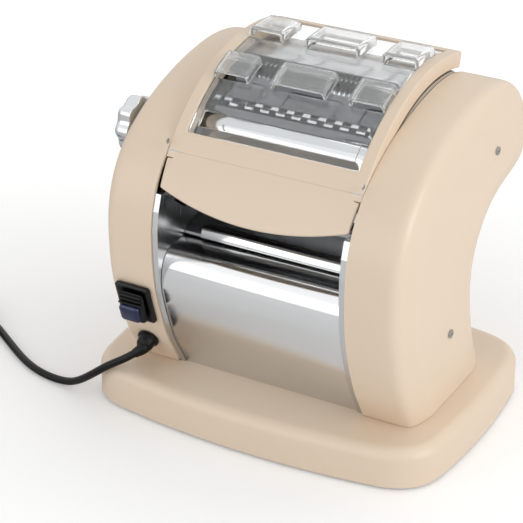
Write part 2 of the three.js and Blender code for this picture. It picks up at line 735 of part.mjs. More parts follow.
// Motor, across the machine behind the front cover
const motorRight = plateInner - touchGap;
const motorBodyEnd = motorRight - motorBellLength;
const motorBodyStart = motorBodyEnd - 2 * motorHalfLength;
function motor() {
  const barrel = turned([
    [motorBodyStart - motorBellLength, 0], [motorBodyStart - motorBellLength, motorBellRadius],
    [motorBodyStart, motorRadius - gearModule], [motorBodyStart, motorRadius],
    [motorBodyEnd, motorRadius], [motorBodyEnd, motorRadius - gearModule],
    [motorRight, motorBellRadius], [motorRight, 0]], motorAxis.x, motorAxis.y, 28);
  const footTop = motorAxis.y - motorRadius / 2;
  const feet = [motorBodyStart, motorBodyEnd - motorFootWidth].map((x) => block(
    x, x + motorFootWidth, motorAxis.x - motorFootHalf, motorAxis.x + motorFootHalf,
    baseTop + touchGap, baseTop + motorBellLength));
  const posts = [motorBodyStart, motorBodyEnd - motorFootWidth].map((x) => block(
    x, x + motorFootWidth, motorAxis.x - motorBellRadius, motorAxis.x + motorBellRadius,
    baseTop + motorBellLength / 2, footTop));
  const bore = rod(journalRadius + touchGap, motorRight - motorBellLength, motorRight + overrun,
    motorAxis.x, motorAxis.y, 16);
  return cut(join(barrel, ...feet, ...posts), bore);
}

add("motor", motor(), satin);
const motorShaft = turned([
  [motorRight - motorBellLength + touchGap, 0], [motorRight - motorBellLength + touchGap, journalRadius],
  [innerPlane + runGap, journalRadius], [innerPlane + runGap, shaftRadius],
  [thirdShaftEnd, shaftRadius], [thirdShaftEnd, 0]], motorAxis.x, motorAxis.y, 16);
add("motor_pinion", join(motorShaft,
  gearBlank(pinionTeeth, 0, thirdPlane, motorAxis.x, motorAxis.y, motorPinionPhase)), satin);

// Sliding bearing blocks of the moving roller, with a rod that ties them together
function bearingBlock() {
  const whole = slideBlock(blockHalf, blockTail, blockHalf, plateInner, plateOuter);
  const bore = rod(journalRadius + touchGap, plateInner - overrun, plateOuter + overrun,
    movingRoller.x, movingRoller.y, 20);
  const seat = rod(tieRadius + touchGap, plateInner - overrun, plateOuter - touchGap,
    tieRod.x, tieRod.y, 14);
  return cut(whole, bore, seat);
}

const rightBlock = bearingBlock();
add("bearing_block_right", rightBlock, satin);
const leftBlock = cut(closed(rightBlock.clone().scale(-1, 1, 1)));
const camReach = camRadius - camThrow + 4 * touchGap / 3;
const follower = slideBlock(movingRoller.distanceTo(knobAxis) - camReach, -blockHalf / 3, blockHalf,
  -plateOuter - camWidth, -plateOuter);
add("bearing_block_left", join(leftBlock, follower), satin);
add("block_tie_rod", rod(tieRadius, -plateOuter + 2 * touchGap, plateOuter - 2 * touchGap,
  tieRod.x, tieRod.y, 14), satin);

// Thickness knob with its cam
function knob() {
  const inner = -(innerPlane + housingWidth) - runGap;
  const points = [];
  const steps = knobLobes * 6;
  for (let i = 0; i < steps; i += 1) {
    const angle = i / steps * Math.PI * 2;
    const radius = knobRadius - knobLobeDepth / 2 + knobLobeDepth / 2 * Math.cos(knobLobes * angle);
    points.push(new THREE.Vector2(radius * Math.cos(angle), radius * Math.sin(angle)));
  }
  const face = knobLobeDepth / 2;
  const body = plateAlongX(new THREE.Shape(points), inner - knobThickness + face, inner - face, {
    bevelEnabled: true, bevelThickness: face, bevelSize: face, bevelOffset: -face, bevelSegments: 1 })
    .translate(0, knobAxis.x, knobAxis.y);
  const camStart = -plateOuter - camWidth;
  const shaft = rod(knobShaftRadius, inner - face, camStart + touchGap, knobAxis.x, knobAxis.y, 18);
  const camAxis = stepFrom(knobAxis, -camThrow, smoothLineAngle);
  const cam = rod(camRadius, camStart, -plateOuter - touchGap, camAxis.x, camAxis.y, 24);
  return join(body, shaft, cam);
}

add("thickness_knob", knob(), steel);

// Front cover: a rolled sheet that the pasta slides down.
const frontRollY = -78;
const frontRollTop = 137.5;
const frontRollBack = -58;
function frontCover() {
  const inset = plateFrontInset + 1.4 * sheetThickness;
  const rollStart = 112;
  const lower = offsetRun(housingRun, -inset).filter(
    (point) => point.x < 0 && point.y > baseTop + touchGap && point.y < rollStart);
  lower.unshift(new THREE.Vector2(
    onHousingFront(baseTop + touchGap).y + inset, baseTop + touchGap));
  const last = lower[lower.length - 1];
  const roll = new THREE.CubicBezierCurve(
    last, new THREE.Vector2(last.x - sheetThickness, last.y + 17 * sheetThickness),
    new THREE.Vector2(last.x + 5 * sheetThickness, frontRollTop),
    new THREE.Vector2(frontRollY + 5 * sheetThickness, frontRollTop)).getPoints(10).slice(1);
  roll.push(new THREE.Vector2(frontRollBack, frontRollTop + sheetThickness));
  return sheet([...lower, ...roll], sheetThickness, -sheetHalfWidth, sheetHalfWidth);
}

add("front_cover", frontCover(), steel);

// Outlet chute: it carries the pasta from the rollers forward onto the front cover.
const chuteFrontY = -57.5;
const chuteFrontZ = 141.5;
const chuteBackY = 84;
const chuteBackZ = 186;
const chuteLip = 6.5;
function chute() {
  const slope = new THREE.Vector2(chuteBackY - chuteFrontY, chuteBackZ - chuteFrontZ).normalize();
  const front = new THREE.Vector2(chuteFrontY, chuteFrontZ);
  const under = new THREE.Vector2(chuteFrontY - sheetThickness / 4, chuteFrontZ - chuteLip / 4);
  return sheet([
    under, front, front.clone().addScaledVector(slope, chuteLip),
    new THREE.Vector2(chuteBackY, chuteBackZ)], sheetThickness, -sheetHalfWidth, sheetHalfWidth);
}

add("outlet_chute", chute(), satin);

// Feed plate: a curved sheet over the cutters, with a slot above the wide pair.
function feedPlate() {
  const inner = feedRadius - sheetThickness / 2;
  const outer = feedRadius + sheetThickness / 2;
  const whole = arcBand(inner, outer, feedFrontAngle, feedBackAngle, -sheetHalfWidth, sheetHalfWidth, 8);
  const slotHalf = sheetHalfWidth - armWidth / 2;
  const slot = arcBand(inner - overrun, outer + overrun, feedSlotAngle, feedSlotEndAngle,
    -slotHalf, slotHalf, 2);
  return cut(whole, slot);
}

add("feed_plate", feedPlate(), steel);
add("rear_tray", arcBand(feedRadius - sheetThickness / 2, feedRadius + sheetThickness / 2,
  trayFrontAngle, trayBackAngle, -sheetHalfWidth, sheetHalfWidth, 8), satin);

// Rear cover between the housings
const rearCoverInset = 3.2;
const rearCoverWall = 2.6;
const rearCoverFront = 76;
function rearCover() {
  const run = offsetRun(housingRun, -rearCoverInset);
  const behind = run.slice(run.findIndex((point) => point.x > rearCoverFront))
    .filter((point) => point.y > baseTop + touchGap);
  const foot = new THREE.Vector2(behind[behind.length - 1].x, baseTop + touchGap);
  return sheet([...behind, foot], rearCoverWall, -plateOuter, plateOuter);
}

add("rear_cover", rearCover(), cream);

// Cover frame: two arms, a back bar and a front bridge, hinged on two pins.
const frameHalf = innerPlane - touchGap - coverSideGap;
const windowHalf = frameHalf - armWidth;
function coverFrame() {
  const inner = coverRadius - coverDepth;
  const whole = arcBand(inner, coverRadius, coverBackAngle, armTipAngle, -frameHalf, frameHalf, 26);
  const window = arcBand(inner - overrun, coverRadius + overrun, windowBackAngle, windowFrontAngle,
    -windowHalf, windowHalf, 22);
  const below = arcBand(inner - overrun, coverRadius - coverWall, windowFrontAngle - touchGap / coverRadius,
    armTipAngle + touchGap, -windowHalf, windowHalf, 4);
  const bead = rod(beadRadius + beadGap, -windowHalf, windowHalf, hinge.x, hinge.y, 20);
  const beyond = arcBand(inner - overrun, coverRadius + overrun, hingeAngle, armTipAngle + touchGap,
    -windowHalf, windowHalf, 2);
  const holes = rod(pivotRadius + touchGap, -frameHalf - overrun, frameHalf + overrun, hinge.x, hinge.y, 12);
  const backPocket = arcBand(inner - overrun, coverRadius - coverWall,
    coverBackAngle + coverWall / coverRadius, windowBackAngle + touchGap, -windowHalf, windowHalf, 2);
  return cut(whole, window, below, bead, beyond, holes, backPocket);
}

add("cover_frame", coverFrame(), cream);

// Front flap: it hangs from the same pins, and its lower edge is a shallow arc.
function frontFlap() {
  const bend = new THREE.QuadraticBezierCurve(
    hinge.clone(), new THREE.Vector2(flapBendY, flapBendZ), new THREE.Vector2(flapLipY, flapLipZ));
  const panel = sheet(bend.getPoints(10), coverWall, -flapHalfTop, flapHalfTop);
  const keep = new THREE.Shape();
  keep.moveTo(-flapHalfTop, hinge.y + overrun);
  keep.lineTo(-flapHalfLip, flapCornerZ);
  keep.quadraticCurveTo(0, 2 * flapMiddleZ - flapCornerZ, flapHalfLip, flapCornerZ);
  keep.lineTo(flapHalfTop, hinge.y + overrun);
  const trimmed = common(panel, plateAlongY(keep, flapLipY - overrun, hinge.x + overrun));
  const beadHalf = windowHalf - touchGap;
  const bead = rod(beadRadius, -beadHalf, beadHalf, hinge.x, hinge.y, 16);
  const armRoom = [-1, 1].map((side) => {
    const edges = [side * beadHalf, side * (flapHalfTop + overrun)].sort((a, b) => a - b);
    return arcBand(coverRadius - coverDepth - overrun, coverRadius + overrun, windowFrontAngle,
      armTipAngle + 2 * beadRadius / coverRadius, edges[0], edges[1], 2);
  });
  const inside = rod(pivotTipRadius + touchGap, -flapHalfTop, -beadHalf + pivotTipLength + touchGap,
    hinge.x, hinge.y, 10);
  const inside2 = rod(pivotTipRadius + touchGap, beadHalf - pivotTipLength - touchGap, flapHalfTop,
    hinge.x, hinge.y, 10);
  return cut(join(trimmed, bead), ...armRoom, inside, inside2);
}

add("front_flap", frontFlap(), cream);

function pivotPin() {
  return turned([
    [windowHalf - pivotTipLength, 0], [windowHalf - pivotTipLength, pivotTipRadius],
    [windowHalf + touchGap, pivotTipRadius], [windowHalf + touchGap, pivotRadius],
    [innerPlane - touchGap, pivotRadius], [innerPlane - touchGap, pivotTipRadius],
    [innerPlane + pivotTipLength, pivotTipRadius], [innerPlane + pivotTipLength, 0]],
  hinge.x, hinge.y, 12);
}

add("pivot_pin_right", pivotPin(), satin);
add("pivot_pin_left", closed(pivotPin().scale(-1, 1, 1)), satin);

// Clear guard: a curved pane in the window with two rows of raised, arched lugs.
function coverGuard() {
  const outer = coverRadius - guardRecess;
  const inner = outer - guardThickness;
  const half = windowHalf - touchGap;
  const back = windowBackAngle + touchGap / coverRadius;
  const front = windowFrontAngle - touchGap / coverRadius;
  const pane = arcBand(inner, outer, back, front, -half, half, 20);
  const slotHalf = half - 2 * armWidth / 3;
  const doughSlot = arcBand(inner - overrun, outer + overrun, doughSlotEndAngle, doughSlotAngle,
    -slotHalf, slotHalf, 2);
  const spans = [[-half, -lugSideInner], [-lugMiddleHalf, lugMiddleHalf], [lugSideInner, half]];
  const rows = [[frontLugEndAngle, frontLugAngle], [backLugEndAngle, backLugAngle]];
  const lugs = [];
  const tunnels = [];
  for (const [end, start] of rows) {
    for (const [left, right] of spans) {
      lugs.push(arcBand(inner, outer + lugRise, end, start, left, right, 4));
      tunnels.push(arcBand(inner - overrun, outer + lugRise - lugWall,
        end - touchGap / coverRadius, start + touchGap / coverRadius,
        left + lugWall, right - lugWall, 4));
    }
  }
  return cut(join(pane, ...lugs), doughSlot, ...tunnels);
}

add("cover_guard", coverGuard(), clear);

// Combs that clear the pasta from the cutters' grooves
function comb(place, strip, pairs, shifted) {
  const barTop = place.y - cutterRadius - 2 * runGap;
  const barDepth = cutterCoreRadius;
  const fingerTop = place.y - cutterCoreRadius - 2 * runGap;
  const bar = block(-sheetHalfWidth, sheetHalfWidth, place.x - barDepth / 2, place.x + barDepth / 2,
    barTop - barDepth / 2, barTop);
  const fingers = [];
  const start = -strip * pairs + (shifted ? 0 : strip);
  for (let i = 0; i < pairs; i += 1) {
    const left = start + i * 2 * strip + strip / 5;
    fingers.push(block(left, left + strip * 3 / 5, place.x - barDepth / 4, place.x + barDepth / 4,
      barTop - barDepth / 4, fingerTop));
  }
  return join(bar, ...fingers);
}

add("wide_comb", comb(wideFront, wideStrip, widePairs, false), satin);
add("fine_comb", comb(fineFront, fineStrip, finePairs, false), satin);

// Switch on the left housing's front face
function switchBezel() {
  const half = switchWidth / 2;
  const tall = switchHeight / 2;
  const plate = block(-half, half, -bezelDepth, -touchGap, -tall, tall);
  const neckHalf = (switchWidth - bezelDepth) / 2 - touchGap;
  const neckTall = (switchHeight - bezelDepth) / 2 - touchGap;
  const neck = block(-neckHalf, neckHalf, -bezelDepth / 2, bezelSink, -neckTall, neckTall);
  const window = block(-rockerWidth / 2 - touchGap, rockerWidth / 2 + touchGap,
    -bezelDepth - overrun, bezelSink - bezelDepth / 2, -rockerHeight / 2 - touchGap, rockerHeight / 2 + touchGap);
  return seatOnFront(cut(join(plate, neck), window), switchX, switchZ);
}

// The rocker rolls on a line across its middle; its faces meet in a shallow V.
function switchRocker() {
  const tall = rockerHeight / 2 - bezelDepth / 3;
  const half = rockerWidth / 2 - touchGap;
  const shape = new THREE.Shape([
    new THREE.Vector2(rockerRise / 3, -tall), new THREE.Vector2(rockerRise, -tall),
    new THREE.Vector2(rockerRise / 3, 0), new THREE.Vector2(rockerRise, tall),
    new THREE.Vector2(rockerRise / 3, tall), new THREE.Vector2(-rockerRise / 2, 0)]);
  const body = plateAlongX(shape, -half, half).scale(1, -1, 1);
  return seatOnFront(closed(body), switchX, switchZ, bezelDepth / 2);
}

add("switch_bezel", switchBezel(), black);
add("switch_rocker", switchRocker(), blue);

// Cable gland: a rounded nub whose bore lets the cord out.
const glandSeat = onHousingFront(glandZ);
function cableGland() {
  const inside = overrun / 2;
  const flange = glandRadius;
  const nose = glandRadius - glandCollar / 2;
  const body = new THREE.LatheGeometry([
    [0, -inside], [cordRadius + glandCollar / 2 - touchGap, -inside],
    [cordRadius + glandCollar / 2 - touchGap, touchGap], [flange, touchGap], [flange, glandCollar],
    [nose, glandNoseLength - touchGap], [nose - touchGap, glandNoseLength], [0, glandNoseLength],
  ].map(([radius, along]) => new THREE.Vector2(radius, along)), 18).rotateX(Math.PI);
  return seatOnFront(body, glandX, glandZ);
}

add("cable_gland", cableGland(), black);

// Screws that show on the outer face of the right housing
const screwRadius = 3.2;
const screwUpperY = 54;
const screwUpperZ = 205;
const screwLowerY = -14;
const screwLowerZ = 88;
function housingScrew(y, z) {
  const face = innerPlane + housingWidth + touchGap;
  const head = rod(screwRadius, face, face + screwRadius / 3, y, z, 14);
  const slot = block(face + screwRadius / 6, face + screwRadius, y - screwRadius * 0.7,
    y + screwRadius * 0.7, z - screwRadius / 6, z + screwRadius / 6);
  return cut(head, slot);
}

add("housing_screw_upper", housingScrew(screwUpperY, screwUpperZ), satin);
add("housing_screw_lower", housingScrew(screwLowerY, screwLowerZ), satin);

// Cord: a free run from the gland to the table, then a coil put away beside the machine.
// Its route, chosen by hand
const cordRoute = [
  [-100.8, -89.2, 45.4], [-106, -91.4, 41.2], [-112.1, -93.8, 37.6], [-118, -96.6, 34.6],
  [-125, -98.6, 29.4], [-134.8, -98.4, 21.2], [-146.3, -95.6, 12.2], [-156, -93.4, 6], [-166.6, -92, 3.4],
  [-179.8, -91.4, 3.1], [-198.1, -87.3, 3.1], [-218.9, -76, 3.1], [-244.3, -58.8, 3.1], [-262, -47.4, 3.1],
  [-279, -37.2, 3.1],
];

// A closed tube round a run of points, with flat ends
function tubeAlong(points, radius, sides) {
  const place = [];
  const index = [];
  let side = new THREE.Vector3(0, 0, 1);
  points.forEach((point, i) => {
    const before = points[Math.max(i - 1, 0)];
    const after = points[Math.min(i + 1, points.length - 1)];
    const tangent = after.clone().sub(before).normalize();
    side = side.sub(tangent.clone().multiplyScalar(side.dot(tangent))).normalize();
    const other = tangent.clone().cross(side);
    for (let s = 0; s < sides; s += 1) {
      const angle = (s + 0.5) / sides * Math.PI * 2;
      const corner = point.clone().addScaledVector(side, radius * Math.cos(angle))
        .addScaledVector(other, radius * Math.sin(angle));
      place.push(corner.x, corner.y, corner.z);
    }
  });
  const last = (points.length - 1) * sides;
  for (let i = 0; i < points.length - 1; i += 1) {
    for (let s = 0; s < sides; s += 1) {
      const a = i * sides + s;
      const b = i * sides + (s + 1) % sides;
      index.push(a, b, a + sides, b, b + sides, a + sides);
    }
  }
  for (let s = 1; s < sides - 1; s += 1) {
    index.push(0, s + 1, s);
    index.push(last, last + s, last + s + 1);
  }
  const geometry = new THREE.BufferGeometry();
  geometry.setAttribute("position", new THREE.Float32BufferAttribute(place, 3));
  geometry.setIndex(index);
  return geometry;
}

const glandExit = [glandNoseLength + touchGap, glandNoseLength + cordRadius].map(
  (reach) => new THREE.Vector3(0, -reach, 0).applyAxisAngle(new THREE.Vector3(1, 0, 0), glandSeat.tilt)
    .add(new THREE.Vector3(glandX, glandSeat.y, glandZ)));
const routePoints = [...glandExit, ...cordRoute.map(([x, y, z]) => new THREE.Vector3(x, y, z))];
const runCurve = new THREE.CatmullRomCurve3(routePoints, false, "centripetal");
const runSteps = 30;
add("cord_run", tubeAlong(runCurve.getPoints(runSteps), cordRadius, 8), black);

// The coil: it spirals in on the table, climbs one layer in half a turn and spirals out again.
const runEnd = routePoints[routePoints.length - 1];
const runBefore = routePoints[routePoints.length - 2];
const heading = Math.atan2(runEnd.y - runBefore.y, runEnd.x - runBefore.x);
const coilStart = new THREE.Vector3(
  runEnd.x + (touchGap + 2 * cordRadius) * Math.cos(heading),
  runEnd.y + (touchGap + 2 * cordRadius) * Math.sin(heading), cordLift);
const coilCentre = new THREE.Vector3(
  coilStart.x - coilOuterRadius * Math.sin(heading),
  coilStart.y + coilOuterRadius * Math.cos(heading), cordLift);
const coilLayer = coilPitch;
function coilPath() {
  const points = [new THREE.Vector3(runEnd.x + touchGap * Math.cos(heading),
    runEnd.y + touchGap * Math.sin(heading), cordLift)];
  const firstAngle = heading - Math.PI / 2;
  const middle = coilTurns + climbTurns / 2;
  const total = 2 * middle;
  for (let i = 0; i <= total * coilSteps; i += 1) {
    const turn = i / coilSteps;
    const climb = THREE.MathUtils.smoothstep(turn, coilTurns, coilTurns + climbTurns);
    const radius = coilOuterRadius - coilPitch * (middle - Math.abs(turn - middle));
    const angle = firstAngle + turn * Math.PI * 2;
    points.push(new THREE.Vector3(coilCentre.x + radius * Math.cos(angle),
      coilCentre.y + radius * Math.sin(angle), cordLift + coilLayer * climb));
  }
  const endAngle = firstAngle + total * Math.PI * 2;
  const way = new THREE.Vector3(-Math.sin(endAngle), Math.cos(endAngle), 0);
  const last = points[points.length - 1];
  for (const step of [1, 2]) {
    const tail = last.clone().addScaledVector(way, step * coilTail / 2);
    tail.z = THREE.MathUtils.lerp(last.z, plugLift, step / 2);
    points.push(tail);
  }
  return { points, way };
}

const coil = coilPath();
add("cord_coil", tubeAlong(coil.points, cordRadius, coilSides), black);

// The least gap between turns, measured on the path
function leastGap(points) {
  let least = Infinity;
  for (let i = 0; i < points.length; i += 1) {
    for (let j = i + coilSteps / 2; j < points.length; j += 1) {
      least = Math.min(least, points[i].distanceTo(points[j]) - 2 * cordRadius);
    }
  }
  return least;
}

console.log(`least gap in the coil ${leastGap(coil.points).toFixed(2)} mm`);

// Mains plug with two round pins, lying where the coil ends
function mainsPlug() {
  const half = plugWidth / 2;
  const tall = plugHeight / 2;
  const shape = new THREE.Shape();
  shape.moveTo(0, -cordRadius - glandCollar / 2);
  shape.lineTo(plugLength / 3, -half);
  shape.lineTo(plugLength, -half);
  shape.lineTo(plugLength, half);
  shape.lineTo(plugLength / 3, half);
  shape.lineTo(0, cordRadius + glandCollar / 2);
  const face = plugHeight / 5;
  const body = new THREE.ExtrudeGeometry(shape, { depth: plugHeight - 2 * face, bevelEnabled: true,
    bevelThickness: face, bevelSize: face, bevelOffset: -face, bevelSegments: 2 })
    .translate(0, 0, -tall + face);
  const pins = [-1, 1].map((side) => rod(pinRadius, plugLength - face, plugLength + pinLength,
    side * pinSpacing / 2, 0, 12));
  const end = coil.points[coil.points.length - 1];
  const heading2 = Math.atan2(coil.way.y, coil.way.x);
  return join(body, ...pins).rotateZ(heading2).translate(
    end.x + touchGap * coil.way.x, end.y + touchGap * coil.way.y, end.z);
}

add("mains_plug", mainsPlug(), black);

export default pastaMaker;
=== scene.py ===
# %% [markdown]
# # An electric pasta maker
# The imported CAD model is the fixed frame of this scene. Most visible pieces are built
# again here with smooth curves and a real finish, in the place that the CAD gives them.
# Lengths are in millimetres while a piece is shaped, and are turned to metres at its end.

# %% Load the frame
import math

import bmesh
import bpy
from mathutils import Matrix, Vector


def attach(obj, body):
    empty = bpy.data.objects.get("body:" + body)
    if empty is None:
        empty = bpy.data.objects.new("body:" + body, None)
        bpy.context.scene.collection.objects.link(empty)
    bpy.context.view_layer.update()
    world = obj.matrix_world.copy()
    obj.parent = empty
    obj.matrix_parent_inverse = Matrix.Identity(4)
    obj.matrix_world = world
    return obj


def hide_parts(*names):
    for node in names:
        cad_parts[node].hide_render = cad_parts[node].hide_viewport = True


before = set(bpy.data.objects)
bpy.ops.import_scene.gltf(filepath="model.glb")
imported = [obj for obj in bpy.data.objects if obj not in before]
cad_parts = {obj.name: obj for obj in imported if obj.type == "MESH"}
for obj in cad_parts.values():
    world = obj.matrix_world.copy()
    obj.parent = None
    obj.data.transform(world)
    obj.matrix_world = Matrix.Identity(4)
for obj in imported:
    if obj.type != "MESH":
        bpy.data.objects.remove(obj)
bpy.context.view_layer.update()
MM = 0.001
BASE_HALF_WIDTH, BASE_HALF_DEPTH, TAIL_REACH = 146.5, 107.7, 124.0067
# Outlines are drawn from the middle of the base. The frame's origin lies under the middle of
# the whole machine, and its tail reaches out behind the base, so each piece is moved by this.
DEPTH_SHIFT = (BASE_HALF_DEPTH - TAIL_REACH) / 2

# %% [markdown]
# ## Camera
# The photograph was taken from the front right, a little above the machine. A long lens
# keeps the sides nearly parallel, so the camera stands 1.4 metres away.

# %% Camera
CAMERA_PLACE = Vector((585.1, -1108.75, 757.1)) * MM
CAMERA_AIM = Vector((-24.4, -38.25, 115.9)) * MM
LONG_LENS, FILM_WIDTH = 129.6, 36
camera_data = bpy.data.cameras.new("camera")
camera_data.lens = LONG_LENS
camera_data.sensor_width = FILM_WIDTH
camera_data.clip_start = 0.05
camera = bpy.data.objects.new("camera", camera_data)
camera.location = CAMERA_PLACE
camera.rotation_mode = "QUATERNION"
camera.rotation_quaternion = (CAMERA_AIM - CAMERA_PLACE).to_track_quat("-Z", "Y")
bpy.context.scene.collection.objects.link(camera)
bpy.context.scene.camera = camera
bpy.context.scene.view_settings.view_transform = "Standard"
print("camera", round((CAMERA_AIM - CAMERA_PLACE).length, 3), "m from the machine")

# %% [markdown]
# ## Colours and nodes
# Colours are written as the hex values that a screen shows. Blender mixes light in linear
# values, so one function turns them. Patterns are given as real sizes in millimetres, and a
# second function turns a size to a texture's scale. One more adds a node with its settings.

# %% Colour and node helpers
def linear(code):
    parts = [int(code[i:i + 2], 16) / 255 for i in (1, 3, 5)]
    return (*[p / 12.92 if p <= 0.04045 else ((p + 0.055) / 1.055) ** 2.4 for p in parts], 1)


def per_metre(size):
    return 1 / (size * MM)


def add_node(tree, kind, sockets=None, **settings):
    node = tree.nodes.new(kind)
    for name, value in settings.items():
        setattr(node, name, value)
    for name, value in (sockets or {}).items():
        if isinstance(value, bpy.types.NodeSocket):
            tree.links.new(value, node.inputs[name])
        else:
            node.inputs[name].default_value = value
    return node


def start_material(name, **sockets):
    material = bpy.data.materials.new(name)
    material.use_nodes = True
    tree = material.node_tree
    shader = tree.nodes["Principled BSDF"]
    for key, value in sockets.items():
        shader.inputs[key.replace("_", " ")].default_value = value
    place = add_node(tree, "ShaderNodeTexCoord").outputs["Object"]
    return material, tree, shader, place


print("half of a screen's white is", round(linear("#808080")[0], 3), "in linear light")

# %% [markdown]
# ## Cream moulded ABS
# The housings, the base and the cover are injection-moulded ABS with a satin finish. The
# mould leaves an even, very fine grain, so a highlight is wide and soft and never sharp.
# Here the grain is a fine noise of 0.5 mm in the bump, and a broad noise that varies the
# roughness a little, as hands and cloths do.

# %% Cream moulded ABS
MOULD_GRAIN, HANDLED_PATCH = 0.5, 110
ABS_IOR = 1.53


def moulded_abs(name, colour, deeper, roughness, shine=0.5, coat=0.12):
    material, tree, shader, place = start_material(
        name, IOR=ABS_IOR, Specular_IOR_Level=shine, Coat_Weight=coat, Coat_Roughness=0.32)
    broad = add_node(tree, "ShaderNodeTexNoise", {
        "Vector": place, "Scale": per_metre(HANDLED_PATCH), "Detail": 3.0})
    tint = add_node(tree, "ShaderNodeMix", {"Factor": broad.outputs["Fac"]}, data_type="RGBA")
    tint.inputs["A"].default_value = linear(colour)
    tint.inputs["B"].default_value = linear(deeper)
    tree.links.new(tint.outputs["Result"], shader.inputs["Base Color"])
    span = add_node(tree, "ShaderNodeMapRange", {
        "Value": broad.outputs["Fac"], "To Min": roughness - 0.04, "To Max": roughness + 0.05})
    tree.links.new(span.outputs["Result"], shader.inputs["Roughness"])
    grain = add_node(tree, "ShaderNodeTexNoise", {
        "Vector": place, "Scale": per_metre(MOULD_GRAIN), "Detail": 2.0})
    bump = add_node(tree, "ShaderNodeBump", {
        "Height": grain.outputs["Fac"], "Strength": 0.12, "Distance": 0.00012})
    tree.links.new(bump.outputs["Normal"], shader.inputs["Normal"])
    return material


# The cream parts are satin with a soft sheen. The black ones are smoother and reflect little.
cream_abs = moulded_abs("cream moulded ABS", "#E3D0BA", "#DFCBB4", 0.42)
black_abs = moulded_abs("black moulded ABS", "#08080A", "#0C0C0D", 0.3, 0.25, 0)
print("made", cream_abs.name, "and", black_abs.name)

# %% [markdown]
# ## Steel
# The front cover is polished stainless sheet: nearly a mirror, with a slight waviness from
# rolling. The side plates are brushed, with grain lines that run up the plate. The rollers
# are turned, so their lines run round them. One function draws a steel with lines that are
# a noise stretched along one direction. Its line sizes are millimetres along X, Y and Z.

# %% Steel
def steel(name, colour, roughness, line_sizes, bump_strength, spread=0.04):
    material, tree, shader, place = start_material(name, Metallic=1.0)
    stretch = add_node(tree, "ShaderNodeMapping", {
        "Vector": place, "Scale": [per_metre(size) for size in line_sizes]})
    lines = add_node(tree, "ShaderNodeTexNoise", {
        "Vector": stretch.outputs["Vector"], "Scale": 1.0, "Detail": 4.0, "Roughness": 0.6})
    span = add_node(tree, "ShaderNodeMapRange", {
        "Value": lines.outputs["Fac"], "To Min": roughness - spread, "To Max": roughness + spread})
    tree.links.new(span.outputs["Result"], shader.inputs["Roughness"])
    shader.inputs["Base Color"].default_value = linear(colour)
    bump = add_node(tree, "ShaderNodeBump", {
        "Height": lines.outputs["Fac"], "Strength": bump_strength, "Distance": 0.0001})
    tree.links.new(bump.outputs["Normal"], shader.inputs["Normal"])
    return material


# Nearly a mirror, so it shows the room in soft bands.
polished_sheet = steel("polished stainless sheet", "#D9DADB", 0.15, (70, 110, 17), 0.02, 0.03)
# Fine lines blur the room and leave a pale, even grey.
brushed_plate = steel("brushed stainless plate", "#C9CACB", 0.26, (0.33, 0.55, 17), 0.05)
# Tight rings stretch each highlight along the roller.
turned_steel = steel("turned and chromed steel", "#CFD1D3", 0.1, (0.4, 50, 50), 0.04, 0.03)
# Painted shade: darker than polished sheet, to stand for the shade inside the machine under the guard, with
# grain lines along its width.
shade_painted_ground_sheet = steel("ground stainless sheet with painted shade", "#6C6E71", 0.1, (17, 1.1, 1.1), 0.03, 0.03)
# A dull, slightly mottled grey.
zinc_plate = steel("zinc plated steel", "#A9ABAD", 0.36, (2.5, 2.5, 2.5), 0.05)
# Bright, with the small unevenness of a casting.
cast_knob = steel("polished die-cast zinc", "#C4C6C8", 0.2, (1.1, 1.1, 1.1), 0.06)
print("made six steels")

# %% [markdown]
# ## Clear, blue, black and white plastics
# The guard is clear polycarbonate, polished in its mould, and its arches are a little cloudy
# where the mould's sides drew off them. The switch has a dark blue translucent lens. The
# cord's sheath is soft black PVC, a little dull. The gears are natural nylon, off-white and
# waxy, and the feet are matt rubber.

# %% Plastics and rubber
FLOW_RIPPLE = 17


def clear_moulding(name, colour, roughness, transmission, ior):
    material, tree, shader, place = start_material(
        name, Base_Color=linear(colour), IOR=ior, Transmission_Weight=transmission)
    ripple = add_node(tree, "ShaderNodeTexNoise", {
        "Vector": place, "Scale": per_metre(FLOW_RIPPLE), "Detail": 1.0})
    span = add_node(tree, "ShaderNodeMapRange", {
        "Value": ripple.outputs["Fac"], "To Min": roughness, "To Max": roughness + 0.03})
    tree.links.new(span.outputs["Result"], shader.inputs["Roughness"])
    bump = add_node(tree, "ShaderNodeBump", {
        "Height": ripple.outputs["Fac"], "Strength": 0.05, "Distance": 0.001})
    tree.links.new(bump.outputs["Normal"], shader.inputs["Normal"])
    return material


# Polycarbonate's own IOR is 1.58. The photographed guard reflects less, so these have less.
clear_polycarbonate = clear_moulding("clear polycarbonate", "#F6F7F7", 0.01, 0.96, 1.36)
cloudy_polycarbonate = clear_moulding("cloudy polycarbonate", "#F4F5F5", 0.05, 0.86, 1.42)
# The lens glows a little at its edges. The sheath, nylon and rubber are duller than the ABS.
blue_lens = clear_moulding("dark blue translucent polycarbonate", "#06174A", 0.1, 0.25, 1.5)
sheath_pvc = moulded_abs("black PVC sheath", "#070707", "#0A0A0A", 0.36, 0.18, 0)
natural_nylon = moulded_abs("natural nylon", "#E4DFCF", "#DCD6C4", 0.5)
foot_rubber = moulded_abs("moulded rubber", "#19191A", "#1E1E1F", 0.8, 0.3, 0)
print("made", clear_polycarbonate.name + ",", blue_lens.name, "and", natural_nylon.name)

# %% [markdown]
# ## Shape helpers
# Side outlines are drawn in millimetres from the middle of the base, as depth and height.
# A smooth run is a Catmull-Rom curve through such points, the same curve as the CAD's. A
# finished piece is moved and turned to metres in its mesh, so its object stays unturned.
# Sharp edges are rounded by a small bevel at the end, because no real edge is a line.

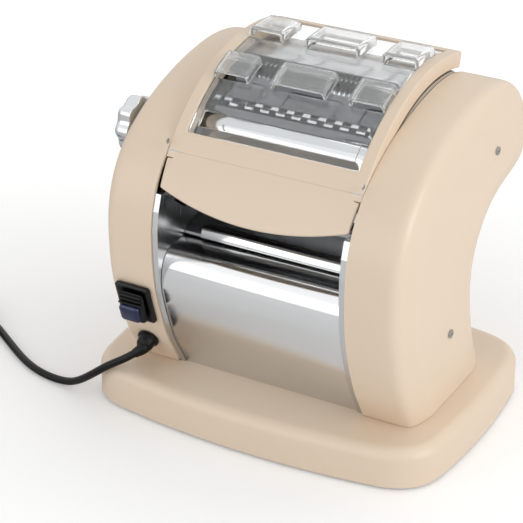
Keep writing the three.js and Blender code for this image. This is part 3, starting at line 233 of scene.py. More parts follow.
# %% Outline helpers
def smooth_run(points, count):
    run = []
    for i in range(count + 1):
        place = (len(points) - 1) * i / count
        k = min(int(place), len(points) - 2)
        t = place - k
        a, b, c, d = (Vector(points[min(max(k + j, 0), len(points) - 1)]) for j in (-1, 0, 1, 2))
        run.append(0.5 * (2 * b + (c - a) * t + (2 * a - 5 * b + 4 * c - d) * t ** 2
                          + (3 * b - a - 3 * c + d) * t ** 3))
    return run


def offset_run(points, distance):
    moved = []
    for i, point in enumerate(points):
        way = (points[min(i + 1, len(points) - 1)] - points[max(i - 1, 0)]).normalized()
        moved.append(point + distance * Vector((-way.y, way.x)))
    return moved


def chain(bm, places, closed=False):
    verts = [bm.verts.new(p) for p in places]
    edges = [bm.edges.new(pair) for pair in zip(verts, verts[1:] + verts[:1] if closed else verts[1:])]
    return verts, edges


# %% Piece helpers
EDGE_ANGLE = math.radians(35)
WELD = 0.001


def round_edges(mesh, width, steps, stay_sharp):
    bm = bmesh.new()
    bm.from_mesh(mesh)
    edges = [e for e in bm.edges if len(e.link_faces) == 2 and e.calc_face_angle() > EDGE_ANGLE]
    if stay_sharp:
        edges = [e for e in edges if not stay_sharp((e.verts[0].co + e.verts[1].co) / (2 * MM))]
    bmesh.ops.bevel(bm, geom=edges, offset=width * MM, segments=steps, profile=0.5, affect="EDGES",
                    material=-1, clamp_overlap=True)
    bm.to_mesh(mesh)
    bm.free()


def finish_piece(name, bm, material, body, replaces=(), wall=0, side=-1, soft=0, angle=35,
                 thin=None, soft_steps=2, recalc=True, smooth=0, stay_sharp=None):
    if recalc:
        bmesh.ops.remove_doubles(bm, verts=bm.verts, dist=WELD)
        bmesh.ops.recalc_face_normals(bm, faces=bm.faces)
    bmesh.ops.translate(bm, verts=bm.verts, vec=(0, DEPTH_SHIFT, 0))
    bmesh.ops.scale(bm, verts=bm.verts, vec=(MM, MM, MM))
    mesh = bpy.data.meshes.new(name)
    bm.to_mesh(mesh)
    bm.free()
    piece = bpy.data.objects.new(name, mesh)
    bpy.context.scene.collection.objects.link(piece)
    if smooth:
        rounder = piece.modifiers.new("smooth", "SUBSURF")
        rounder.levels = rounder.render_levels = smooth
        rounder.boundary_smooth = "PRESERVE_CORNERS"
    if wall:
        shell = piece.modifiers.new("wall", "SOLIDIFY")
        shell.thickness, shell.offset, shell.use_even_offset = wall * MM, side, True
        if thin:
            group = piece.vertex_groups.new(name="thickness")
            for vert, share in enumerate(thin):
                group.add([vert], share, "REPLACE")
            shell.vertex_group = "thickness"
    bpy.context.view_layer.update()
    baked = bpy.data.meshes.new_from_object(piece.evaluated_get(bpy.context.evaluated_depsgraph_get()))
    piece.modifiers.clear()
    piece.data = baked
    if soft:
        round_edges(baked, soft, soft_steps, stay_sharp)
    baked.polygons.foreach_set("use_smooth", [True] * len(baked.polygons))
    baked.set_sharp_from_angle(angle=math.radians(angle))
    baked.materials.clear()
    baked.materials.append(material)
    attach(piece, body)
    if replaces:
        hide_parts(*replaces)
    print(name, len(baked.polygons), "faces")
    return piece


def verts_in(geometry):
    return [g for g in geometry if isinstance(g, bmesh.types.BMVert)]


def bent_sheet(points, half):
    bm = bmesh.new()
    _, edges = chain(bm, [(-half, p.x, p.y) for p in points])
    made = bmesh.ops.extrude_edge_only(bm, edges=edges)["geom"]
    bmesh.ops.translate(bm, verts=verts_in(made), vec=(2 * half, 0, 0))
    return bm


def spun(profile, y, z, steps=64):
    bm = bmesh.new()
    verts, edges = chain(bm, [(along, radius, 0) for along, radius in profile])
    bmesh.ops.spin(bm, geom=verts + edges, cent=(0, 0, 0), axis=(1, 0, 0), angle=math.tau,
                   steps=steps, use_merge=True)
    bmesh.ops.translate(bm, verts=bm.verts, vec=(0, y, z))
    return bm


def even(low, high, steps):
    return [low + (high - low) * i / steps for i in range(steps + 1)]


def ruled_grid(xs, ys):
    bm = bmesh.new()
    bmesh.ops.create_grid(bm, x_segments=len(xs) - 1, y_segments=len(ys) - 1, size=0.5)
    for vert in bm.verts:
        column = round((vert.co.x + 0.5) * (len(xs) - 1))
        row = round((vert.co.y + 0.5) * (len(ys) - 1))
        vert.co = (xs[column], ys[row], 0)
    return bm


def drop_faces(bm, wanted):
    gone = [f for f in bm.faces if wanted(f.calc_center_median())]
    bmesh.ops.delete(bm, geom=gone, context="FACES")


# A flat piece drawn as X and degrees is rolled about a line along X, the middle of the cover's
# arc. Rolling turns its faces inwards, so they are turned back.
ARC_Y, ARC_Z = 45.0018, 121.0044


def on_arc(radius, degrees):
    angle = math.radians(degrees)
    return Vector((ARC_Y + radius * math.cos(angle), ARC_Z + radius * math.sin(angle)))


def roll_up(bm, radius):
    for vert in bm.verts:
        place = on_arc(radius + vert.co.z, vert.co.y)
        vert.co = (vert.co.x, place.x, place.y)
    bmesh.ops.reverse_faces(bm, faces=bm.faces)


print("outline and piece helpers are ready")

# %% [markdown]
# ## Base
# The base is a wide tray with bowed sides, round corners and a soft shoulder that rises
# to a flat top. Its outline is four shallow arcs with a corner between each two. One face
# on that outline is pushed up and then inset in small steps along a quarter of a circle.

# %% Base tray
FRONT_BOW, SIDE_BOW, CORNER = 8.5, 4, 36
TRAY_LIFT, TRAY_RIM, SHOULDER, TRAY_WALL = 2.2, 23, 9, 3
FLAT_TOP_LIP = 0.6


def quadratic(a, b, c, count):
    shares = [i / count for i in range(count)]
    return [a * (1 - t) ** 2 + b * 2 * t * (1 - t) + c * t ** 2 for t in shares]


def base_outline():
    side_x, front_y = BASE_HALF_WIDTH - SIDE_BOW, BASE_HALF_DEPTH - FRONT_BOW
    corner_x, corner_y = side_x - CORNER, front_y - CORNER
    turn = corner_x * corner_y - 4 * FRONT_BOW * SIDE_BOW
    along = CORNER * (corner_y - 2 * SIDE_BOW) / turn
    bend = Vector((corner_x + along * corner_x, front_y - along * 2 * FRONT_BOW))
    outline = []
    for sx, sy, first in ((1, -1, "front"), (1, 1, "side"), (-1, 1, "front"), (-1, -1, "side")):
        near, far = Vector((corner_x * sx, front_y * sy)), Vector((side_x * sx, corner_y * sy))
        knee = Vector((bend.x * sx, bend.y * sy))
        if first == "front":
            outline += quadratic(Vector((-near.x, near.y)), Vector((0, near.y + 2 * FRONT_BOW * sy)), near, 24)
            outline += quadratic(near, knee, far, 14)
        else:
            outline += quadratic(Vector((far.x, -far.y)), Vector((far.x + 2 * SIDE_BOW * sx, 0)), far, 20)
            outline += quadratic(far, knee, near, 14)
    return outline


def shoulder(bm, face, size, steps):
    last = (0.0, 0.0)
    for i in range(1, steps + 1):
        turn = math.pi / 2 * i / steps
        now = (size * (1 - math.cos(turn)), size * math.sin(turn))
        bmesh.ops.inset_region(bm, faces=[face], thickness=now[0] - last[0], depth=now[1] - last[1],
                               use_even_offset=True)
        last = now
    bmesh.ops.inset_region(bm, faces=[face], thickness=FLAT_TOP_LIP, use_even_offset=True)


def base_tray():
    bm = bmesh.new()
    verts, _ = chain(bm, [(p.x, p.y, TRAY_LIFT) for p in base_outline()], closed=True)
    face = bm.faces.new(verts)
    bmesh.ops.recalc_face_normals(bm, faces=[face])
    if face.normal.z < 0:
        face.normal_flip()
    raised = bmesh.ops.extrude_face_region(bm, geom=[face])["geom"]
    bmesh.ops.translate(bm, verts=verts_in(raised), vec=(0, 0, TRAY_RIM - TRAY_LIFT))
    top = max(bm.faces, key=lambda f: f.calc_center_median().z)
    shoulder(bm, top, SHOULDER, 9)
    drop_faces(bm, lambda c: c.z < TRAY_LIFT + 0.1)
    return finish_piece("base_shell", bm, cream_abs, "machine", ["base_tray"],
                        wall=TRAY_WALL, angle=50)


base_tray()

# %% [markdown]
# ## Housings
# Each housing is a tall moulding whose side outline leans forward at the front and sweeps
# back over the rear, like a comma. Its outer edge turns by about 10 mm into a side that is
# crowned like a pillow. The outline is pushed out sideways as a coarse cage, its side is inset
# in steps that follow that curve, and a Subdivision Surface turns the cage into one smooth
# moulding. A fine outline would cross itself at the tight bend of the tail, where a coarse one
# doesn't. The outline is given as shares of the housing's reach and rise.

# %% Housings
HOUSING_SHARES = [
    (-0.52, -0.13), (-0.642, 0), (-0.798, 0.118), (-0.912, 0.25), (-0.979, 0.364), (-1, 0.491),
    (-0.99, 0.6), (-0.922, 0.7), (-0.788, 0.791), (-0.58, 0.864), (-0.311, 0.923), (-0.021, 0.964),
    (0.29, 0.991), (0.58, 1), (0.85, 0.982), (1.057, 0.936), (1.202, 0.864), (1.28, 0.777),
    (1.275, 0.705), (1.202, 0.645), (1.036, 0.616), (0.808, 0.595), (0.601, 0.555), (0.446, 0.486),
    (0.363, 0.405), (0.352, 0.314), (0.394, 0.209), (0.472, 0.1), (0.58, 0), (0.7, -0.13)]
HOUSING_REACH, HOUSING_RISE, HOUSING_WALL = 96.5, 220, 3
BASE_TOP, INNER_X, OUTER_X, CROWN = 32, 78, 122, 18
CAGE_STEPS, OUTLINE_STEPS, UNDER_TABLE, SEAT_GAP = 46, 150, -60, 0.3
# How far in from the outline the side lies, and how far out it stands there.
SIDE_STEPS = [(0.1, 4.6), (0.5, 7.8), (1.5, 10.4), (3.2, 12.4), (5.8, 13.9), (9.5, 15.2), (14, 16.5),
              (18.5, 17.5), (22, 18), (22.8, 18)]
housing_points = [Vector((reach * HOUSING_REACH, BASE_TOP + rise * HOUSING_RISE))
                  for reach, rise in HOUSING_SHARES]
housing_run = smooth_run(housing_points, OUTLINE_STEPS)


def housing(name, node, side):
    bm = bmesh.new()
    cage = smooth_run(housing_points, CAGE_STEPS)
    deep = [Vector((cage[0].x, UNDER_TABLE)), *cage, Vector((cage[-1].x, UNDER_TABLE))]
    verts, _ = chain(bm, [(INNER_X, p.x, p.y) for p in deep], closed=True)
    face = bm.faces.new(verts)
    if face.normal.x < 0:
        face.normal_flip()
    pushed = bmesh.ops.extrude_face_region(bm, geom=[face])["geom"]
    bmesh.ops.translate(bm, verts=verts_in(pushed), vec=(OUTER_X - CROWN - INNER_X, 0, 0))
    outer = max(bm.faces, key=lambda f: f.calc_center_median().x)
    if outer.normal.x < 0:
        outer.normal_flip()
    last = (0, 0)
    for inset, out in SIDE_STEPS:
        bmesh.ops.inset_region(bm, faces=[outer], thickness=inset - last[0], depth=out - last[1],
                               use_even_offset=True)
        last = (inset, out)
    bmesh.ops.triangulate(bm, faces=[outer], ngon_method="EAR_CLIP")
    drop_faces(bm, lambda c: c.x < INNER_X + 0.1)
    bmesh.ops.bisect_plane(bm, geom=bm.verts[:] + bm.edges[:] + bm.faces[:], dist=0.0001,
                           plane_co=(0, 0, BASE_TOP + SEAT_GAP), plane_no=(0, 0, 1), clear_inner=True)
    bmesh.ops.scale(bm, verts=bm.verts, vec=(side, 1, 1))
    bmesh.ops.recalc_face_normals(bm, faces=bm.faces)
    return finish_piece(name, bm, cream_abs, "machine", [node],
                        wall=HOUSING_WALL, angle=40, smooth=2)


housing("right_housing_shell", "right_housing", 1)
housing("left_housing_shell", "left_housing", -1)

# %% [markdown]
# ## Sheets between the housings
# The bright front cover is one sheet of polished steel. It leans back from the base, follows
# the housings and rolls over at its top. Behind it lies the chute that brings the pasta out,
# with a bright turned lip, and at the back a moulded cover closes the machine. Each is a line
# from the side, stretched along X, and given its wall by Solidify.

# %% Front cover, chute and rear cover
SHEET_HALF, SHEET = 72.7, 1.2
FRONT_SETBACK, STRAIGHT_TOP, FOOT_CLEAR = 3.28, 112, 0.4
ROLL_TOP, ROLL_BACK, COVER_END = 137.5, -72, Vector((-58, 138.7))
ROLL_START_LEAN, ROLL_START_RISE, ROLL_END_PULL, ROLL_STEPS = -1.2, 20.4, 6, 24
REAR_HALF, REAR_SETBACK, REAR_WALL, REAR_START = 77.7, 3.2, 2.6, 76
LIP_HALF = 58.4
SEAT = BASE_TOP + SEAT_GAP


def front_run():
    lower = [p for p in offset_run(housing_run, -FRONT_SETBACK) if p.x < 0 and SEAT < p.y < STRAIGHT_TOP]
    start, end = lower[-1], Vector((ROLL_BACK, ROLL_TOP))
    near = start + Vector((ROLL_START_LEAN, ROLL_START_RISE))
    far = Vector((start.x + ROLL_END_PULL, ROLL_TOP))
    shares = [i / ROLL_STEPS for i in range(1, ROLL_STEPS + 1)]
    roll = [start * (1 - t) ** 3 + near * 3 * t * (1 - t) ** 2 + far * 3 * t ** 2 * (1 - t) + end * t ** 3
            for t in shares]
    foot = Vector((lower[0].x + FOOT_CLEAR, BASE_TOP + FOOT_CLEAR))
    return [foot, *lower, *roll, COVER_END]


finish_piece("front_cover_sheet", bent_sheet(front_run(), SHEET_HALF), polished_sheet,
             "machine", ["front_cover"], wall=SHEET, side=0, soft=0.2,
             angle=60)

chute_run = [Vector((-57.8, 139.9)), Vector((-57.5, 141.5)), Vector((-51.3, 143.5)), Vector((84, 186))]
finish_piece("outlet_chute_sheet", bent_sheet(chute_run, SHEET_HALF), brushed_plate, "machine",
             ["outlet_chute"], wall=SHEET, side=0, soft=0.2)
lip_run = [Vector(p) for p in ((-59.4, 140.2), (-57.5, 145.6), (-56.4, 146.4), (-50, 146.2), (-46, 145))]
finish_piece("outlet_chute_lip", bent_sheet(lip_run, LIP_HALF), polished_sheet, "machine",
             wall=SHEET, side=0, soft=0.2)

behind = offset_run(housing_run, -REAR_SETBACK)
first_behind = next(i for i, p in enumerate(behind) if p.x > REAR_START)
rear_run = [p for p in behind[first_behind:] if p.y > SEAT]
rear_run.append(Vector((rear_run[-1].x, SEAT)))
finish_piece("rear_cover_shell", bent_sheet(rear_run, REAR_HALF), cream_abs, "machine",
             ["rear_cover"], wall=REAR_WALL, side=0, soft=0.3)

# %% [markdown]
# ## Feed sheets under the guard
# Dough is guided over the cutters by a curved sheet with a slot, and by a tray behind it.
# Both are drawn flat, with lines where an edge is needed, and rolled to the cover's arc.

# %% Feed sheets
FEED_R, SLOT_HALF = 132, 68
SLOT_BACK, SLOT_FRONT = 119.3, 123.3

feed = ruled_grid([-SHEET_HALF, -SLOT_HALF, SLOT_HALF, SHEET_HALF],
                  [124.8, SLOT_FRONT, *even(SLOT_BACK, 109.6, 8)])
drop_faces(feed, lambda c: abs(c.x) < SLOT_HALF and SLOT_BACK < c.y < SLOT_FRONT)
roll_up(feed, FEED_R)
# The feed sheet's dark colour is painted shade.
finish_piece("feed_sheet", feed, shade_painted_ground_sheet, "machine", ["feed_plate"],
             wall=SHEET, side=0, soft=0.15)
tray = ruled_grid([-SHEET_HALF, SHEET_HALF], even(98, 78.5, 14))
roll_up(tray, FEED_R)
finish_piece("rear_tray_sheet", tray, brushed_plate, "machine", ["rear_tray"],
             wall=SHEET, side=0, soft=0.15)

# %% [markdown]
# ## Cover
# The cover is a frame with two arms and a bar at the back, over an open window. Its rear
# corners are rounded. The arms are deep and the strips are thin, so the wall has a thickness
# that changes along the mesh. The frame and the flap meet flush on the hinge line, so the
# edges there stay sharp.

# %% Cover frame
FRAME_HALF, WINDOW_HALF, COVER_R, FRAME_DEPTH = 77.6, 68.5, 146, 11.5
COVER_BACK, WINDOW_BACK, WINDOW_FRONT, COVER_FRONT, ARM_END = 71.5, 77, 136.1, 142.3, 144.2
STRIP_SHARE, STRIP_HALF, REAR_ROUND = 0.27, 67, 9
HINGE_R, SEAM_REACH = 144.5, 2.6
HINGE = on_arc(HINGE_R, COVER_FRONT)


def round_rear_corners(bm, edge, radius):
    degree = math.radians(1) * COVER_R
    for vert in bm.verts:
        dx = abs(vert.co.x) - (FRAME_HALF - radius)
        dy = (edge - vert.co.y) * degree + radius
        if dx > 0 and dy > 0:
            share = max(dx, dy) / math.hypot(dx, dy)
            vert.co.x = math.copysign(FRAME_HALF - radius + dx * share, vert.co.x)
            vert.co.y = edge + (radius - dy * share) / degree


def at_seam(place):
    reach = math.hypot(place.y - DEPTH_SHIFT - HINGE.x, place.z - HINGE.y)
    return abs(place.x) < STRIP_HALF and reach < SEAM_REACH


def cover_frame():
    side = even(FRAME_HALF, WINDOW_HALF, 5)
    xs = [-x for x in side] + even(-66.5, 66.5, 8) + side[::-1]
    ys = [*even(COVER_BACK, WINDOW_BACK, 6), *even(79, 134.5, 28), WINDOW_FRONT,
          *even(137, COVER_FRONT, 3), ARM_END]
    bm = ruled_grid(xs, ys)
    drop_faces(bm, lambda c: abs(c.x) < WINDOW_HALF and (
        WINDOW_BACK < c.y < WINDOW_FRONT or c.y > COVER_FRONT))
    round_rear_corners(bm, COVER_BACK, REAR_ROUND)
    thin = [STRIP_SHARE if abs(v.co.x) < STRIP_HALF and not WINDOW_BACK + 1 < v.co.y < WINDOW_FRONT - 0.1
            else 1.0 for v in bm.verts]
    roll_up(bm, COVER_R)
    return finish_piece("cover_frame_shell", bm, cream_abs, "cover", ["cover_frame"],
                        wall=FRAME_DEPTH, side=-1, soft=1.1, soft_steps=3, thin=thin, recalc=False,
                        stay_sharp=at_seam)


# %% Screws on the cover's arms
SCREW_PLACE = Vector((-70.6, 216.9))
SCREW_R, SCREW_TOP_R, SCREW_HEAD = 2.1, 1.7, 0.5


def arm_screws():
    bm = bmesh.new()
    for side in (-1, 1):
        made = bmesh.ops.create_cone(bm, cap_ends=True, segments=20, radius1=SCREW_R, radius2=SCREW_TOP_R,
                                     depth=SCREW_HEAD)["verts"]
        bmesh.ops.rotate(bm, verts=made, cent=(0, 0, 0), matrix=Matrix.Rotation(side * math.pi / 2, 3, "Y"))
        bmesh.ops.translate(bm, verts=made, vec=(side * (FRAME_HALF + 0.1), *SCREW_PLACE))
    return finish_piece("cover_arm_screws", bm, zinc_plate, "cover")


cover_frame()
arm_screws()

# %% [markdown]
# ## Clear guard
# The guard fills the window. It has a slot for dough at the front, and two rows of hollow
# arches that keep fingers out while dough goes under them. The pane is a ruled sheet with
# faces taken out. Each arch is a strip raised over its opening, with its two bends rounded.

# %% Guard
GUARD_R, GUARD_HALF, PANE, ARCH_WALL = 144.8, 68.2, 2.4, 2
ARCH_RISE, ARCH_BEND, ARCH_FOOT = 7.5, 3.2, 2
SPANS = [(-GUARD_HALF, -40), (-22, 22), (40, GUARD_HALF)]
ROWS = [(108.5, 117), (85, 96.5)]
DOUGH_HALF, DOUGH_BACK, DOUGH_FRONT = 62.1, 128.5, 133.5


def guard():
    xs = [-GUARD_HALF, -DOUGH_HALF, -42, -40, -22, -20, 20, 22, 40, 42, DOUGH_HALF, GUARD_HALF]
    ys = sorted({77.2, *even(79, 83, 2), *even(85, 96.5, 5), *even(98.5, 106.5, 4), *even(108.5, 117, 4),
                 *even(119, 127, 4), DOUGH_BACK, DOUGH_FRONT, 136})
    bm = ruled_grid(xs, ys)
    drop_faces(bm, lambda c: abs(c.x) < DOUGH_HALF and DOUGH_BACK < c.y < DOUGH_FRONT)
    for low, high in ROWS:
        drop_faces(bm, lambda c: low < c.y < high and any(
            a + ARCH_FOOT < c.x < b - ARCH_FOOT for a, b in SPANS))
    roll_up(bm, GUARD_R)
    return bm


def arch_over(left, right, low, high):
    arch = ruled_grid(even(left, right, 2), even(low, high, 5))
    for vert in arch.verts:
        vert.co.z = ARCH_RISE
    sides = [e for e in arch.edges if e.is_boundary and abs(e.verts[0].co.x - e.verts[1].co.x) < 0.01]
    for vert in verts_in(bmesh.ops.extrude_edge_only(arch, edges=sides)["geom"]):
        vert.co.z = 0
    bmesh.ops.recalc_face_normals(arch, faces=arch.faces)
    bends = [e for e in arch.edges if len(e.link_faces) == 2 and e.calc_face_angle() > 1]
    bmesh.ops.bevel(arch, geom=bends, offset=ARCH_BEND, segments=5, profile=0.5, affect="EDGES",
                    material=-1, offset_type="OFFSET")
    roll_up(arch, GUARD_R)
    bmesh.ops.recalc_face_normals(arch, faces=arch.faces)
    top = max(arch.faces, key=lambda f: f.calc_center_median().z)
    if top.normal.z < 0:
        bmesh.ops.reverse_faces(arch, faces=arch.faces)
    return arch


def arches():
    bm = bmesh.new()
    for low, high in ROWS:
        for left, right in SPANS:
            arch = arch_over(left, right, low, high)
            mesh = bpy.data.meshes.new("arch")
            arch.to_mesh(mesh)
            bm.from_mesh(mesh)
            arch.free()
    return bm


finish_piece("guard_pane", guard(), clear_polycarbonate, "cover",
             ["cover_guard"], wall=PANE, side=-1, soft=0.4, recalc=False)
finish_piece("guard_arches", arches(), cloudy_polycarbonate, "cover",
             wall=ARCH_WALL, side=-1, soft=0.4, recalc=False)

# %% [markdown]
# ## Front flap
# The flap carries on from the cover and ends in a lip that sags in the middle like a smile.
# A grid is laid on the flap's bend, and each column stops where it meets the lip's arc.

# %% Front flap
FLAP_HALF, FLAP_TAPER, FLAP_WALL, LIP_ARC_HALF = 76.4, 1.4, 3, 73.4
FLAP_KNEE, FLAP_END = Vector((-83, 193.5)), Vector((-94, 174))
LIP_MIDDLE, LIP_SIDE = 176, 187.5
# The flap starts close under the hinge line, and lower beside the cover's arms.
SEAM_GAP, ARM_GAP, ARM_SHARE = 0.004, 0.13, 0.92


def bend_at(t):
    return HINGE * (1 - t) ** 2 + FLAP_KNEE * 2 * t * (1 - t) + FLAP_END * t ** 2


def lip_share(x):
    across = min(abs(x) / LIP_ARC_HALF, 1)
    height = LIP_MIDDLE + (LIP_SIDE - LIP_MIDDLE) * across ** 2
    low, high = 0.0, 1.0
    for _ in range(30):
        middle = (low + high) / 2
        low, high = (middle, high) if bend_at(middle).y > height else (low, middle)
    return low


def flap():
    bm = ruled_grid(even(-1, 1, 40), even(0, 1, 12))
    for vert in bm.verts:
        across, down = vert.co.x, vert.co.y
        start = SEAM_GAP if abs(across) < ARM_SHARE else ARM_GAP
        place = bend_at(start + down * (lip_share(across * LIP_ARC_HALF) - start))
        vert.co = (across * (FLAP_HALF - FLAP_TAPER * down), place.x, place.y)
    bmesh.ops.recalc_face_normals(bm, faces=bm.faces)
    return finish_piece("front_flap_shell", bm, cream_abs, "flap", ["front_flap"],
                        wall=FLAP_WALL, side=0, soft=1.0, soft_steps=3, stay_sharp=at_seam)


flap()

# %% [markdown]
# ## Rollers
# A smooth pair rolls the sheet of dough, and two pairs of cutters slice it. They are all
# turned steel, so each is one profile spun about its axis. The discs of a pair reach into
# each other's grooves.

# %% Rollers
# Depth and height of each axis.
PLACES = {"fixed": (-26.988, 212.981), "moving": (-45.827, 188.868), "wide_front": (3.012, 212.981),
          "wide_rear": (28.617, 217.496), "fine_front": (56.511, 219.937), "fine_rear": (81.943, 214.531)}
AXLE_END, AXLE_R = 77.7, 6
ROLLER_END, ROLLER_R = 71.8, 15
# The roller's edge: how far in from its end, and how far under its full radius.
ROLLER_EDGE = [(0, 1.4), (0.6, 0.4), (1.6, 0)]
CUTTER_END, CUTTER_ROOT, DISC_R, DISC_ROUND, DISC_PLAY = 72.1, 9, 13.6, 0.25, 0.3


def smooth_roller(name, node, place, body):
    ends = [(-AXLE_END, 0), (-AXLE_END, AXLE_R), (-ROLLER_END, AXLE_R)]
    ends += [(-ROLLER_END + inset, ROLLER_R - under) for inset, under in ROLLER_EDGE]
    profile = ends + [(-x, r) for x, r in ends[::-1]]
    return finish_piece(name, spun(profile, *PLACES[place], 96), turned_steel, body,
                        [node], angle=40)


def cutter(name, node, place, body, strip, pairs, shifted):
    profile = [(-AXLE_END, 0), (-AXLE_END, AXLE_R), (-CUTTER_END, AXLE_R), (-CUTTER_END, CUTTER_ROOT)]
    start = -strip * pairs + (strip if shifted else 0) + DISC_PLAY / 2
    for i in range(pairs):
        left, right = start + i * 2 * strip, start + (i * 2 + 1) * strip - DISC_PLAY
        if right < CUTTER_END - 0.1:
            profile += [(left, CUTTER_ROOT), (left, DISC_R - DISC_PLAY), (left + DISC_ROUND, DISC_R),
                        (right - DISC_ROUND, DISC_R), (right, DISC_R - DISC_PLAY), (right, CUTTER_ROOT)]
    profile += [(CUTTER_END, CUTTER_ROOT), (CUTTER_END, AXLE_R), (AXLE_END, AXLE_R), (AXLE_END, 0)]
    return finish_piece(name, spun(profile, *PLACES[place], 48), turned_steel, body,
                        [node], angle=30)


smooth_roller("fixed_roller", "smooth_roller_fixed", "fixed", "fixed_roller")
smooth_roller("sliding_roller", "smooth_roller_moving", "moving", "moving_roller")
for kind, strip, pairs in (("wide", 6.5, 11), ("fine", 2, 35)):
    for row, shifted in (("front", False), ("rear", True)):
        pair = f"{kind}_{row}"
        cutter(f"{pair}_discs", f"{kind}_cutter_{row}", pair, pair, strip, pairs, shifted)

# %% [markdown]
# ## Thickness knob
# The knob is a polished casting with eight finger grooves. Circles are pulled in at each
# groove, set one after another along X, and bridged, so the rim rounds over into a dish.

# %% Knob
KNOB_Y, KNOB_Z = -32.898, 205.417
GROOVES = 8
# Each ring: its place along X, its radius, and how deep the finger grooves are there.
KNOB_RINGS = [
    (-122.6, 8, 0), (-122.6, 20.6, 2.4), (-123.6, 21.9, 2.6), (-127, 22, 2.7), (-131, 22, 2.7),
    (-133.4, 21.4, 2.6), (-134.9, 20, 2.4), (-135.5, 17.8, 1.8), (-135.6, 14, 0.6), (-135.2, 12.6, 0),
    (-133.4, 11.8, 0), (-133.4, 4, 0)]


def bridge_rings(bm, rings):
    for low, high in zip(rings, rings[1:]):
        bmesh.ops.bridge_loops(bm, edges=low + high)


def close_ends(bm, rings):
    for ring in (rings[-1], rings[0]):
        bmesh.ops.contextual_create(bm, geom=ring)


def edges_of(verts):
    return list({e for v in verts for e in v.link_edges})


def knob():
    bm = bmesh.new()
    rings = []
    for along, reach, groove in KNOB_RINGS:
        made = bmesh.ops.create_circle(bm, segments=96, radius=1)["verts"]
        for vert in made:
            angle = math.atan2(vert.co.y, vert.co.x)
            radius = reach - groove * (1 - math.cos(GROOVES * angle)) / 2
            vert.co = (along, KNOB_Y + radius * math.cos(angle), KNOB_Z + radius * math.sin(angle))
        rings.append(edges_of(made))
    bridge_rings(bm, rings)
    close_ends(bm, rings)
    return finish_piece("knob_casting", bm, cast_knob, "regulator",
                        ["thickness_knob"], angle=45)


knob()

# %% [markdown]
# ## Switch
# The switch sits in a stepped black bezel on the left housing. Its rocker wears a black boot
# with three ribs over its upper half and a dark blue lens below. All of them lean with the
# housing's front face, so they are built flat and tilted.

# %% Switch
SWITCH_X, SWITCH_Z = -96, 92
# Half width, half height and corner radius of each plate.
BEZEL_SIZE, BOOT_SIZE, LENS_SIZE = (14.5, 17, 2.6), (11, 13, 3), (8.6, 7.4, 3.6)
LEAST_CORNER = 0.8
# Each level of a plate: how far in from its outline, and how far out from the housing.
BEZEL_LEVELS = [(0, 0.3), (0, 2.4), (0.8, 3.2), (2.2, 3.2), (2.7, 2.2), (3.6, 2.2), (4.1, 3.2), (5, 3.2),
                (5.4, -4)]
BOOT_LEVELS = [(2.2, -1), (2.2, 4.8), (0.7, 5.4), (0, 6.6), (0.3, 8.2), (1.3, 9.6), (2.8, 10.4), (5, 10.7)]
LENS_LEVELS = [(0, 8), (0, 10.4), (0.5, 11.4), (1.4, 12.2), (2.8, 12.8), (4.4, 13.1)]


def seat_on_front(bm, x, height):
    above = next(i for i, p in enumerate(housing_run) if p.y > height)
    low, high = housing_run[above - 1], housing_run[above]
    share = (height - low.y) / (high.y - low.y)
    way = (high - low).normalized()
    tilt = math.atan2(-way.x, way.y)
    bmesh.ops.rotate(bm, verts=bm.verts, cent=(0, 0, 0), matrix=Matrix.Rotation(tilt, 3, "X"))
    bmesh.ops.translate(bm, verts=bm.verts, vec=(x, low.x + (high.x - low.x) * share, height))


def rounded_ring(bm, half, tall, radius, out):
    half_step = Matrix.Rotation(math.tau / 64, 4, "Z")
    made = bmesh.ops.create_circle(bm, segments=32, radius=radius, matrix=half_step)["verts"]
    for vert in made:
        vert.co = (vert.co.x + math.copysign(half - radius, vert.co.x), -out,
                   vert.co.y + math.copysign(tall - radius, vert.co.y))
    return edges_of(made)


def stepped_plate(levels, half, tall, radius):
    bm = bmesh.new()
    rings = [rounded_ring(bm, half - inset, tall - inset, max(radius - inset, LEAST_CORNER), out)
             for inset, out in levels]
    bridge_rings(bm, rings)
    return bm, rings


def bezel():
    bm, _ = stepped_plate(BEZEL_LEVELS, *BEZEL_SIZE)
    seat_on_front(bm, SWITCH_X, SWITCH_Z)
    return finish_piece("switch_frame", bm, black_abs, "machine", ["switch_bezel"],
                        soft=0.2)


# %% Rocker with its boot, ribs and lens
# Each rib: its height over the rocker's middle, and how far out it stands.
RIB_SIZE, RIB_PLACES = (19, 2.2, 1.4), ((10.4, 6.5), (7.6, 7.4), (4.8, 8.9))
# The boot's front sinks back towards its top, from a little under its middle.
BOOT_SHELF, BOOT_SINK, SINK_FROM, SINK_OVER = 5.3, 0.8, -3, 15
LENS_OFFSET = (-0.6, 0, -4)


def boot():
    bm, rings = stepped_plate(BOOT_LEVELS, *BOOT_SIZE)
    close_ends(bm, rings)
    for vert in bm.verts:
        rise = min(max((vert.co.z - SINK_FROM) / SINK_OVER, 0), 1)
        if vert.co.y < -BOOT_SHELF:
            sink = 1 - BOOT_SINK * rise * rise * (3 - 2 * rise)
            vert.co.y = -BOOT_SHELF + (vert.co.y + BOOT_SHELF) * sink
    seat_on_front(bm, SWITCH_X, SWITCH_Z)
    return finish_piece("rocker_boot", bm, black_abs, "rocker", ["switch_rocker"], soft=0.3,
                        soft_steps=3)


def lens():
    bm, rings = stepped_plate(LENS_LEVELS, *LENS_SIZE)
    close_ends(bm, rings)
    bmesh.ops.translate(bm, verts=bm.verts, vec=LENS_OFFSET)
    seat_on_front(bm, SWITCH_X, SWITCH_Z)
    return finish_piece("rocker_lens", bm, blue_lens, "rocker", soft=0.3, soft_steps=3)


